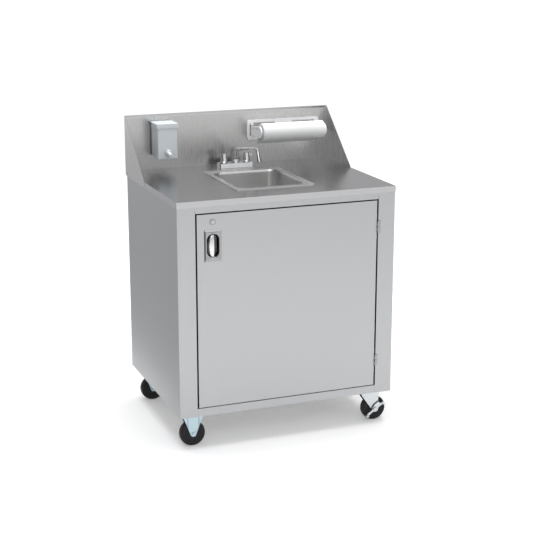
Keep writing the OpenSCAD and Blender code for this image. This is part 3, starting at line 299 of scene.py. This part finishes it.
def finish_with(piece, kind, **settings):
    """Adds a modifier to a piece and applies it."""
    modifier = piece.modifiers.new(kind.lower(), kind)
    for key, value in settings.items():
        setattr(modifier, key, value)
    bpy.context.view_layer.objects.active = piece
    bpy.ops.object.modifier_apply(modifier=modifier.name)


def smooth(piece, degrees=35):
    """Shades a piece smooth, but for its sharper edges."""
    deselect()
    piece.select_set(True)
    bpy.context.view_layer.objects.active = piece
    bpy.ops.object.shade_smooth_by_angle(angle=math.radians(degrees))
    finish_with(piece, "WEIGHTED_NORMAL", keep_sharp=True, weight=60)


def eased(node, radius, material, steps=2, angle=42):
    """A copy of a part, merged into whole faces, with its sharp edges eased to a radius."""
    deselect()
    source = frame["nodes"][node]
    piece = source.copy()
    piece.data = source.data.copy()
    for key in [k for k in piece.keys() if k.startswith("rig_")]:
        del piece[key]
    piece.parent = None
    piece.name = node + "_eased"
    bpy.context.scene.collection.objects.link(piece)
    piece.select_set(True)
    bpy.context.view_layer.objects.active = piece
    bpy.ops.object.mode_set(mode="EDIT")
    bpy.ops.mesh.select_all(action="SELECT")
    bpy.ops.mesh.remove_doubles(threshold=0.00002)
    bpy.ops.mesh.dissolve_limited(angle_limit=math.radians(0.5))
    bpy.ops.object.mode_set(mode="OBJECT")
    finish_with(piece, "BEVEL", width=radius, segments=steps, limit_method="ANGLE",
                angle_limit=math.radians(angle))
    smooth(piece)
    settle(piece, node, material)
    return piece


# Near-black finish: painted shade in the door gap on the door's edges and the stile returns, and also the
# colour of the dark seams above the doorway.
gap_shade_and_seam_finish = Finish("painted_gap_shade_and_seam", Specular_IOR_Level=0.2)
gap_and_seam_mottle = gap_shade_and_seam_finish.noise(60, detail=4)
gap_shade_and_seam_finish.feed(Base_Color=gap_shade_and_seam_finish.blend(gap_and_seam_mottle, (0.006, 0.006, 0.006), (0.016, 0.016, 0.016)),
                 Roughness=0.5 + gap_and_seam_mottle * 0.2)
upright_steel = steel("upright_steel", (0.447, 0.454, 0.461), 0.34, (420, 420, 5))
inner_steel = steel("inner_steel", (0.46, 0.46, 0.46), 0.42, (200, 200, 8))
door_low, door_high = (Vector(corner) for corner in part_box("door_skin"))
door_gap = 0.0065
stile_edges = {"left": door_low.x - door_gap, "right": door_high.x + door_gap}
# The stile return beside each side of the doorway is coated near-black, painted shade in the door gap.
for side, inward in (("left", 1), ("right", -1)):
    edge = stile_edges[side]
    coat(eased("side_panel_" + side, 0.0006, upright_steel), gap_shade_and_seam_finish.material,
         lambda face: abs(face.center.x - edge) < 0.001 and face.normal.x * inward > 0.9)
for node in ("top_rail", "bottom_rail"):
    eased(node, 0.0005, upright_steel)

# Above each side of the doorway a short dark seam shows where the rail's end meets the stile.
seam_size = (0.0012, 0.0004, 0.013)
seam_proud, seam_above_door = 0.0001, 0.004
seam_middle = door_high.z + seam_above_door + seam_size[2] / 2
for side, edge in stile_edges.items():
    deselect()
    bpy.ops.mesh.primitive_cube_add(size=1)
    seam = bpy.context.object
    seam.name = "rail_seam_" + side
    bpy.ops.object.mode_set(mode="EDIT")
    bpy.ops.mesh.select_all(action="SELECT")
    bpy.ops.transform.resize(value=seam_size)
    bpy.ops.transform.translate(value=(edge, door_low.y - seam_proud, seam_middle))
    bpy.ops.mesh.bevel(offset=0.00012, segments=2)
    bpy.ops.object.mode_set(mode="OBJECT")
    repaint(seam, gap_shade_and_seam_finish.material)
    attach(seam, "cabinet")
for node in ("back_panel", "base_pan"):
    eased(node, 0.0004, inner_steel)

# ---- Counter, backsplash and splash sides
# The counter is one folded sheet, and the backsplash stands on it with a folded top edge and a
# sloping cheek at each end, held by small domed screws. The counter's grain runs across. The folded
# edge is given a brighter steel, in place of the light that falls on it in the photo.
counter_steel = steel("counter_steel", (0.49, 0.49, 0.495), 0.24, (9, 900, 900), mark=0.10, bump=0.02)
splash_steel = steel("splash_steel", (0.54, 0.535, 0.53), 0.27, (460, 460, 6), mark=0.08, bump=0.03)
bright_steel = steel("bright_steel", (0.62, 0.62, 0.625), 0.18, (120, 120, 60), mark=0.06, bump=0.02)
eased("countertop", 0.0009, counter_steel, steps=3)
coat(eased("backsplash", 0.0005, splash_steel), bright_steel,
     lambda face: face.normal.z > 0.3 and face.normal.y < -0.3)
for node in ("splash_left", "splash_right"):
    eased(node, 0.0004, splash_steel)
eased("panel_screws", 0.0002, bright_steel)

# ---- Door
# A folded outer skin with an inner liner spot-welded into it, hung on the right. The skin's edges
# are coated near-black all round, painted shade in the door gap.
shade_setback, shade_reach = 0.0012, 0.0006


def is_door_edge(face):
    """True for a face on the rim of the door, a little behind its front."""
    from_rim = min(face.center.x - door_low.x, door_high.x - face.center.x,
                   face.center.z - door_low.z, door_high.z - face.center.z)
    return from_rim < shade_reach and face.center.y > door_low.y + shade_setback


coat(eased("door_skin", 0.0009, upright_steel, steps=3), gap_shade_and_seam_finish.material, is_door_edge)
eased("door_liner", 0.0004, inner_steel)

# ---- Pull and lock
# A pressed pull of polished stainless: a bevelled plate with a round-ended cup, and half a dome
# over the cup's left side. Above it is a round cam lock with a keyway. It is one steel on the real
# part: the darker steels here are painted dark reflections, the brighter steel is a painted highlight,
# and the near-black steel in the cup is also painted shade.
highlight_metal = steel("painted_highlight_steel", (0.70, 0.70, 0.70), 0.13, (90, 90, 90), mark=0.05, bump=0.01)
plate_steel = steel("plate_steel", (0.33, 0.335, 0.34), 0.20, (90, 90, 90), mark=0.05, bump=0.01)
painted_shade_and_reflection = steel("painted_shade_and_reflection", (0.08, 0.08, 0.08), 0.30, (90, 90, 90), mark=0.05, bump=0.01)


def start(name):
    """An empty mesh piece in edit mode, for rings of edges that are then bridged."""
    deselect()
    bpy.ops.mesh.primitive_plane_add(size=1)
    piece = bpy.context.object
    piece.name = name
    bpy.ops.object.mode_set(mode="EDIT")
    bpy.ops.mesh.select_all(action="SELECT")
    bpy.ops.mesh.delete(type="VERT")
    return piece


def ring(centre, size, corner, steps=8, upright=False):
    """Adds a rounded rectangle of edges; upright stands it facing the front."""
    bpy.ops.mesh.select_all(action="DESELECT")
    bpy.ops.mesh.primitive_plane_add(size=1)
    bpy.ops.transform.resize(value=(size[0], size[1], 1))
    bpy.ops.mesh.bevel(offset=corner, segments=steps, affect="VERTICES", offset_type="OFFSET")
    if upright:
        bpy.ops.transform.rotate(value=math.radians(-90), orient_axis="X", center_override=(0, 0, 0))
    bpy.ops.transform.translate(value=centre)
    bpy.ops.mesh.delete(type="ONLY_FACE")


def skin(piece, rings, closed=False):
    """Bridges each ring to the next, and closes the last one with a face if asked."""
    count = len(bmesh.from_edit_mesh(piece.data).verts) // rings

    def pick(first, last):
        bpy.ops.mesh.select_all(action="DESELECT")
        bpy.ops.mesh.select_mode(type="EDGE")
        mesh = bmesh.from_edit_mesh(piece.data)
        mesh.verts.index_update()
        for edge in mesh.edges:
            homes = {corner.index // count for corner in edge.verts}
            edge.select_set(len(homes) == 1 and first <= homes.pop() <= last)
        bmesh.update_edit_mesh(piece.data)

    for k in range(rings - 1):
        pick(k, k + 1)
        bpy.ops.mesh.bridge_edge_loops()
    if closed:
        pick(rings - 1, rings - 1)
        bpy.ops.mesh.edge_face_add()
    bpy.ops.mesh.select_mode(type="VERT")
    bpy.ops.object.mode_set(mode="OBJECT")


def face_toward(piece, direction):
    """Turns the piece's faces so that the largest one looks along direction."""
    facing = max(piece.data.polygons, key=lambda face: face.area * abs(face.normal.dot(Vector(direction))))
    if facing.normal.dot(Vector(direction)) < 0:
        piece.data.flip_normals()


pull_low, pull_high = (Vector(corner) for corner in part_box("pull_handle"))
pull_middle = (pull_low + pull_high) / 2
door_face = door_low.y
plate_width, plate_height, plate_proud = 0.0705, 0.1245, 0.0025
plate_corner, plate_edge, bevel_across, bevel_up = 0.0010, 0.0008, 0.0110, 0.0130
cup_width, cup_height, cup_depth, cup_lip = 0.0485, 0.0925, 0.016, 0.0030
cup_round = cup_width / 2 - 0.0008
pull = start("pull_plate_and_cup")
pull_rings = [
    (0.0, (plate_width, plate_height), plate_corner),
    (-plate_edge, (plate_width, plate_height), plate_corner),
    (-plate_proud, (plate_width - bevel_across, plate_height - bevel_up), 0.0008),
    (-plate_proud, (cup_width + cup_lip, cup_height + cup_lip), cup_round),
    (-plate_proud + 0.0012, (cup_width, cup_height), cup_round),
    (0.010, (cup_width - 0.0010, cup_height - 0.0010), cup_round - 0.0005),
    (0.0145, (cup_width - 0.0060, cup_height - 0.0060), cup_round - 0.0030),
    (cup_depth, (cup_width - 0.0120, cup_height - 0.0120), cup_round - 0.0060),
]
for depth, size, corner in pull_rings:
    ring((pull_middle.x, door_face + depth, pull_middle.z), size, corner, upright=True)
skin(pull, len(pull_rings), closed=True)
face_toward(pull, (0, -1, 0))
smooth(pull)
settle(pull, "pull_handle", plate_steel)
cup_mouth = door_face - plate_proud + 0.001


def is_in_cup(face):
    """True for a face behind the mouth of the pull's cup."""
    return abs(face.center.x - pull_middle.x) < cup_width / 2 and face.center.y > cup_mouth


# Upward faces get the brighter steel, a painted highlight; the cup and the left-facing faces get the
# near-black steel, painted shade in the cup and a painted dark reflection on the left.
coat(pull, highlight_metal, lambda face: face.normal.z > 0.2)
coat(pull, painted_shade_and_reflection, lambda face: is_in_cup(face) or face.normal.x < -0.2)

hood_reach, hood_wall, hood_sunk = 0.026, 0.0014, 0.0006
hood_edge = pull_middle.x - cup_width / 2 + hood_reach
hood_foot = door_face - plate_proud
hood_out = hood_foot - pull_low.y
deselect()
bpy.ops.mesh.primitive_uv_sphere_add(segments=64, ring_count=32, radius=1)
hood = bpy.context.object
hood.name = "pull_hood"
bpy.ops.object.mode_set(mode="EDIT")
bpy.ops.mesh.select_all(action="SELECT")
bpy.ops.transform.resize(value=(hood_reach, hood_out, cup_height / 2 - 0.002))
bpy.ops.transform.translate(value=(hood_edge, hood_foot, pull_middle.z))
bpy.ops.mesh.select_all(action="SELECT")
bpy.ops.mesh.bisect(plane_co=(hood_edge, 0, 0), plane_no=(1, 0, 0), clear_outer=True)
bpy.ops.mesh.select_all(action="SELECT")
bpy.ops.mesh.bisect(plane_co=(0, hood_foot + hood_sunk, 0), plane_no=(0, 1, 0), clear_outer=True)
bpy.ops.object.mode_set(mode="OBJECT")
finish_with(hood, "SOLIDIFY", thickness=hood_wall, offset=-1)
smooth(hood, 50)
# The hood is the brighter steel, a painted highlight, with its left-facing side in the near-black steel, a
# painted dark reflection.
repaint(hood, highlight_metal)
coat(hood, painted_shade_and_reflection, lambda face: face.normal.x < -0.30)
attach(hood, "door")

# The lock housing's left-facing faces get the near-black steel, a painted dark reflection.
coat(eased("lock_housing", 0.0013, plate_steel, steps=4), painted_shade_and_reflection, lambda face: face.normal.x < -0.2)
eased("lock_plug", 0.0002, bright_steel)

# ---- Hinges
# Two butt hinges of polished stainless, with five knuckles round a pin, welded to the stile and
# to the door's edge.
# The hinge steel is much darker than the cabinet's steel, a painted dark reflection on the knuckles.
hinge_steel = steel("hinge_steel", (0.36, 0.36, 0.365), 0.17, (120, 120, 60), mark=0.08, bump=0.02)
for node in ("hinge_frame_leaves", "hinge_door_leaves", "hinge_pins"):
    eased(node, 0.0005, hinge_steel, steps=3)

# ---- Sink bowl and drain
# The bowl is drawn from one sheet: a flat rim with a raised edge, upright walls with wide round
# corners, and a floor that falls to the drain. The strainer basket lifts out of the drain.
# The bowl's steel is far paler than the counter's, painted light inside the bowl.
bowl_steel = steel("bowl_steel", (0.88, 0.875, 0.87), 0.30, (320, 320, 320), mark=0.04, bump=0.0)
bowl_low, bowl_high = (Vector(corner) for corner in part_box("sink_bowl"))
drain_low, drain_high = (Vector(corner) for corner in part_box("drain_body"))
counter_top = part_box("countertop")[1][2]
bowl_size = Vector((0.286, 0.342))
bowl_depth, bowl_corner, floor_round, wall_lean = 0.150, 0.042, 0.024, 0.004
drain_width, flange_width, bowl_wall = 0.089, 0.012, 0.0012
rim_size = (bowl_high - bowl_low).xy
rim_middle = ((bowl_high + bowl_low) / 2).xy
bowl_middle = ((drain_high + drain_low) / 2).xy
# Each ring is its middle, its size, how much it grows, its height on the counter, and its corners.
bowl_rings = [
    (rim_middle, rim_size, 0.0, 0.0002, 0.008),
    (rim_middle, rim_size, 0.0, 0.0022, 0.008),
    (rim_middle, rim_size, -0.003, 0.0030, 0.008),
    (rim_middle, rim_size, -0.009, 0.0024, 0.006),
    (rim_middle, rim_size, -0.013, 0.0015, 0.006),
    (bowl_middle, bowl_size, 0.012, 0.0013, bowl_corner + 0.004),
    (bowl_middle, bowl_size, 0.004, 0.0005, bowl_corner + 0.001),
    (bowl_middle, bowl_size, 0.001, -0.003, bowl_corner),
    (bowl_middle, bowl_size, 0.0, -0.010, bowl_corner),
    (bowl_middle, bowl_size, -wall_lean, floor_round - bowl_depth, bowl_corner - wall_lean / 2),
]
for k in range(1, 7):
    turn = math.radians(15 * k)
    inset = floor_round * (1 - math.cos(turn))
    level = floor_round * (1 - math.sin(turn)) - bowl_depth + 0.001
    bowl_rings.append((bowl_middle, bowl_size, -wall_lean - 2 * inset, level,
                       bowl_corner - (wall_lean + inset) / 2))
drain_flange = Vector((drain_width, drain_width)) + 2 * Vector((flange_width, flange_width))
bowl_rings.append((bowl_middle, drain_flange, 0.0, -bowl_depth, drain_flange.x / 2 - 0.0002))
bowl_rings.append((bowl_middle, drain_flange, -0.022, -bowl_depth, drain_width / 2 + 0.0008))
bowl = start("drawn_bowl")
for middle, size, grow, level, corner in bowl_rings:
    ring((middle.x, middle.y, counter_top + level), (size.x + grow, size.y + grow), corner)
skin(bowl, len(bowl_rings))
face_toward(bowl, (0, 0, 1))
finish_with(bowl, "SOLIDIFY", thickness=bowl_wall, offset=-1)
smooth(bowl, 40)
settle(bowl, "sink_bowl", bowl_steel)
# The sloping faces of the rim's raised edge get a paler steel, a painted highlight along the edge.
painted_rim_highlight = steel("painted_rim_highlight", (0.86, 0.86, 0.86), 0.20, (90, 90, 90), mark=0.05, bump=0.01)
coat(bowl, painted_rim_highlight, lambda face: face.center.z > counter_top + 0.0008 and face.normal.z < 0.9)
eased("drain_body", 0.0006, bright_steel)
eased("strainer_basket", 0.0005, bright_steel)

# A waste hose of the tanks' own plastic leads from the drain down to the waste tank.
tank_finish = Finish("tank_plastic", Subsurface_Weight=0.15, Subsurface_Radius=(0.02, 0.02, 0.02),
                     Transmission_Weight=0.12, IOR=1.5)
haze = tank_finish.noise(14, detail=4)
tank_finish.feed(
    Base_Color=tank_finish.blend(haze, (0.72, 0.76, 0.77), (0.82, 0.85, 0.86)),
    Roughness=0.38 + haze * 0.16,
    Normal=tank_finish.bump(tank_finish.noise(420, detail=2), 0.12, 0.0003))
eased("drain_hose", 0.0004, tank_finish.material)

# ---- Faucet
# A cast deck faucet in polished chrome: a bar with two fluted knobs and a swinging tube spout,
# which ends in an aerator. Brass nuts clamp it under the counter. The bar's front has a satin
# finish here, in place of the pale reflection on it in the photo.
chrome_finish = Finish("chrome", Metallic=1.0, IOR=1.5)
smudge = chrome_finish.noise(35, detail=4)
chrome_finish.feed(
    Base_Color=chrome_finish.blend(smudge, (0.70, 0.71, 0.73), (0.78, 0.785, 0.79)),
    Roughness=0.035 + smudge * 0.05)
chrome = chrome_finish.material
# The bar's front faces get this paler, duller chrome, a painted pale reflection.
painted_reflection_finish = Finish("painted_reflection_chrome", Metallic=0.35)
reflection_haze = painted_reflection_finish.noise(70, detail=4)
painted_reflection_finish.feed(Base_Color=painted_reflection_finish.blend(reflection_haze, (0.84, 0.86, 0.88), (0.94, 0.95, 0.96)),
                  Roughness=0.24 + reflection_haze * 0.10)
coat(eased("faucet_body", 0.0014, chrome, steps=3), painted_reflection_finish.material,
     lambda face: face.normal.y < -0.9)
eased("spout", 0.0006, chrome)
eased("aerator", 0.0005, bright_steel)
for node in ("hot_handle", "cold_handle"):
    eased(node, 0.0008, chrome, steps=3)
brass_finish = Finish("brass", Metallic=1.0)
tarnish = brass_finish.noise(60, detail=5)
brass_finish.feed(Base_Color=brass_finish.blend(tarnish, (0.50, 0.36, 0.15), (0.74, 0.58, 0.28)),
                  Roughness=0.24 + tarnish * 0.2)
eased("faucet_nuts", 0.0008, brass_finish.material)

# ---- Soap dispenser
# A wall tank of milky polyethylene with a hinged lid, and a push nozzle in a threaded bushing at
# the bottom of its front.
soap_finish = Finish("soap_plastic", Subsurface_Weight=0.3, Subsurface_Radius=(0.03, 0.03, 0.03),
                     Transmission_Weight=0.25, IOR=1.48)
milk = soap_finish.noise(9, detail=3)
soap_finish.feed(
    Base_Color=soap_finish.blend(milk, (0.62, 0.66, 0.69), (0.73, 0.765, 0.79)),
    Roughness=0.26 + milk * 0.12,
    Normal=soap_finish.bump(soap_finish.noise(300, detail=2), 0.08, 0.0003))
white_finish = Finish("white_plastic", Coat_Weight=0.25, Coat_Roughness=0.1)
grime = white_finish.noise(22, detail=4)
white_finish.feed(
    Base_Color=white_finish.blend(grime, (0.69, 0.70, 0.705), (0.77, 0.775, 0.78)),
    Roughness=0.22 + grime * 0.12,
    Normal=white_finish.bump(white_finish.noise(500, detail=2), 0.05, 0.0002))
white_plastic = white_finish.material
eased("soap_tank", 0.0014, soap_finish.material, steps=3)
eased("soap_lid", 0.0010, soap_finish.material, steps=3)
eased("soap_valve", 0.0012, white_plastic, steps=3)
eased("soap_plunger", 0.0012, white_plastic, steps=3)

# ---- Towel holder
# A moulded white frame is screwed to the backsplash. Two spring arms grip the roll's core by
# their hubs. The paper is wound soft and white, and its loose end hangs behind the roll.
eased("towel_bracket", 0.0016, white_plastic, steps=3)
for node in ("towel_arm_left", "towel_arm_right"):
    eased(node, 0.0010, white_plastic, steps=3)
roll_low, roll_high = (Vector(corner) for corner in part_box("paper_roll"))
roll_middle = (roll_low + roll_high) / 2
paper_finish = Finish("paper", Subsurface_Weight=0.2, Subsurface_Radius=(0.01, 0.01, 0.01))
wound = paper_finish.node("ShaderNodeTexWave", {"wave_type": "RINGS", "rings_direction": "X"}, {
    "Vector": paper_finish.place(centre=tuple(roll_middle)), "Scale": 420, "Distortion": 1.2, "Detail": 1})
quilt = paper_finish.node("ShaderNodeTexVoronoi", {"feature": "SMOOTH_F1"}, {
    "Vector": paper_finish.place(), "Scale": 210})
fluff = paper_finish.noise(700, detail=2)
paper_finish.feed(
    Base_Color=paper_finish.blend(wound * 0.35 + fluff * 0.4, (0.63, 0.635, 0.64), (0.70, 0.70, 0.70)),
    Roughness=0.88 + fluff * 0.1,
    Normal=paper_finish.bump(quilt * 0.7 + wound * 0.3, 0.25, 0.0004))
paper = paper_finish.material
eased("paper_roll", 0.0020, paper, steps=3)

tail_low, tail_high = (Vector(corner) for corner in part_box("paper_tail"))
tail_width = tail_high.x - tail_low.x
tail_drop = tail_high.z - tail_low.z
tail_curl = tail_high.y - tail_low.y - 0.001
tail_tear, tail_ripple, tail_clear = 0.0012, 0.0010, 0.0010
deselect()
bpy.ops.mesh.primitive_grid_add(x_subdivisions=56, y_subdivisions=16, size=1)
tail = bpy.context.object
tail.name = "paper_tail_sheet"
for vertex in tail.data.vertices:
    across, down = vertex.co.x, 0.5 - vertex.co.y
    tear = tail_tear * math.sin(across * 95) * down ** 6
    ripple = tail_ripple * math.sin(across * 17 + 2 * down) * down
    vertex.co = (tail_low.x + tail_width * (across + 0.5),
                 tail_low.y + tail_clear + (tail_curl - 0.0015) * down ** 2 + ripple * 0.6,
                 tail_high.z - (tail_drop - 0.0014) * down + tear)
face_toward(tail, (0, -1, 0))
finish_with(tail, "SOLIDIFY", thickness=0.0003, offset=0)
smooth(tail, 60)
settle(tail, "paper_tail", paper)

# ---- Tanks, pump, heater and hoses
# Blow-moulded tanks of natural polyethylene with blue screw caps, a diaphragm pump, an enamelled
# storage heater, and clear hoses between them, all standing on the cabinet's base.
for node in ("fresh_tank", "waste_tank"):
    eased(node, 0.0035, tank_finish.material, steps=3)
cap_finish = Finish("cap_blue", Coat_Weight=0.1)
scuff = cap_finish.noise(45, detail=5)
cap_finish.feed(Base_Color=cap_finish.blend(scuff, (0.02, 0.09, 0.32), (0.05, 0.15, 0.42)),
                Roughness=0.34 + scuff * 0.2)
eased("tank_caps", 0.0010, cap_finish.material)
dark_finish = Finish("black_plastic")
dust = dark_finish.noise(30, detail=5)
dark_finish.feed(
    Base_Color=dark_finish.blend(dust, (0.018, 0.018, 0.02), (0.045, 0.045, 0.047)),
    Roughness=0.42 + dust * 0.2,
    Normal=dark_finish.bump(dark_finish.noise(600, detail=2), 0.15, 0.0003))
eased("pump", 0.0015, dark_finish.material)
heater_finish = Finish("heater_enamel", Coat_Weight=0.5, Coat_Roughness=0.08)
peel = heater_finish.noise(90, detail=3)
heater_finish.feed(Base_Color=heater_finish.blend(peel, (0.78, 0.78, 0.77), (0.84, 0.84, 0.83)),
                   Roughness=0.25 + peel * 0.1, Normal=heater_finish.bump(peel, 0.05, 0.0005))
eased("water_heater", 0.0060, heater_finish.material, steps=4)
hose_finish = Finish("hose_clear", Transmission_Weight=0.35, IOR=1.45)
braid = hose_finish.node("ShaderNodeTexVoronoi", {"feature": "DISTANCE_TO_EDGE"}, {
    "Vector": hose_finish.place(), "Scale": 260})
hose_finish.feed(Base_Color=hose_finish.blend(braid * 6, (0.80, 0.84, 0.86), (0.55, 0.66, 0.72)),
                 Roughness=0.22 + braid * 0.3, Normal=hose_finish.bump(braid, 0.2, 0.0004))
eased("water_hoses", 0.0003, hose_finish.material, angle=60)

# ---- Power inlet and switch
# A flanged inlet and a rocker switch of moulded black nylon, screwed into the back panel.
for node in ("power_inlet", "switch_box"):
    eased(node, 0.0006, dark_finish.material)
rocker_finish = Finish("rocker_red", Coat_Weight=0.2)
rocker_shade = rocker_finish.noise(80, detail=3)
rocker_finish.feed(Base_Color=rocker_finish.blend(rocker_shade, (0.40, 0.015, 0.015), (0.52, 0.03, 0.025)),
                   Roughness=0.3 + rocker_shade * 0.1)
eased("rocker_switch", 0.0006, rocker_finish.material)

# ---- Casters
# Two rigid casters on the left and two swivel casters with side brakes on the right. The frames
# are pressed steel with bright zinc plate, and the wheels are moulded black rubber. The two dark
# lines down each rigid fork's leg are painted shade for its pressed ribs, drawn by its material
# and not modelled.
zinc_finish = Finish("zinc", Metallic=0.85)
spangle = zinc_finish.noise(40, detail=4)
zinc_finish.feed(
    Base_Color=zinc_finish.blend(spangle, (0.42, 0.55, 0.61), (0.56, 0.68, 0.73)),
    Roughness=0.26 + spangle * 0.14,
    Normal=zinc_finish.bump(zinc_finish.noise(260, detail=3), 0.05, 0.0003))
zinc = zinc_finish.material
# The rigid forks' zinc carries two dark lines, painted shade for the pressed ribs.
rib_shade_finish = Finish("zinc_with_painted_rib_shade", Metallic=0.85)
rib_spacing, rib_width = 0.047, 0.0044
wheel_low, wheel_high = (Vector(corner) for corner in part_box("front_left_wheel"))
wheel_middle = ((wheel_low + wheel_high) / 2).x
beside = rib_shade_finish.node("ShaderNodeSeparateXYZ", {}, {0: rib_shade_finish.place(centre=(wheel_middle, 0, 0))})
from_middle = rib_shade_finish.node("ShaderNodeMath", {"operation": "ABSOLUTE"}, {0: beside})
rib_shade_line = rib_shade_finish.node("ShaderNodeMath", {"operation": "COMPARE"}, {
    0: from_middle, 1: rib_spacing / 2, 2: rib_width / 2})
plated = rib_shade_finish.noise(40, detail=4)
rib_shade_finish.feed(
    Base_Color=rib_shade_finish.blend(rib_shade_line * 0.55 + plated * 0.3, (0.56, 0.68, 0.73), (0.16, 0.27, 0.35)),
    Roughness=0.26 + plated * 0.14,
    Normal=rib_shade_finish.bump(rib_shade_finish.noise(260, detail=3), 0.05, 0.0003))
swivel_zinc = Finish("swivel_zinc", Metallic=0.92)
flake = swivel_zinc.noise(55, detail=4)
swivel_zinc.feed(
    Base_Color=swivel_zinc.blend(flake, (0.50, 0.53, 0.54), (0.66, 0.68, 0.69)),
    Roughness=0.16 + flake * 0.14,
    Normal=swivel_zinc.bump(swivel_zinc.noise(260, detail=3), 0.05, 0.0003))
rubber_finish = Finish("wheel_rubber", Specular_IOR_Level=0.28)
bloom = rubber_finish.noise(50, detail=5)
rubber_finish.feed(
    Base_Color=rubber_finish.blend(bloom, (0.006, 0.006, 0.007), (0.016, 0.016, 0.017)),
    Roughness=0.40 + bloom * 0.25,
    Normal=rubber_finish.bump(rubber_finish.noise(420, detail=2), 0.12, 0.0004))
for node in ("front_left_wheel", "rear_left_wheel", "front_right_wheel", "rear_right_wheel"):
    eased(node, 0.0012, rubber_finish.material, steps=3)
for node, plating in (("rigid_forks", rib_shade_finish.material), ("caster_bolts", zinc),
                      ("swivel_plates", swivel_zinc.material)):
    eased(node, 0.0006, plating)
for row in ("front", "rear"):
    for part, radius in (("fork", 0.0006), ("axle", 0.0004), ("brake", 0.0007)):
        eased(row + "_right_" + part, radius, swivel_zinc.material, steps=3)
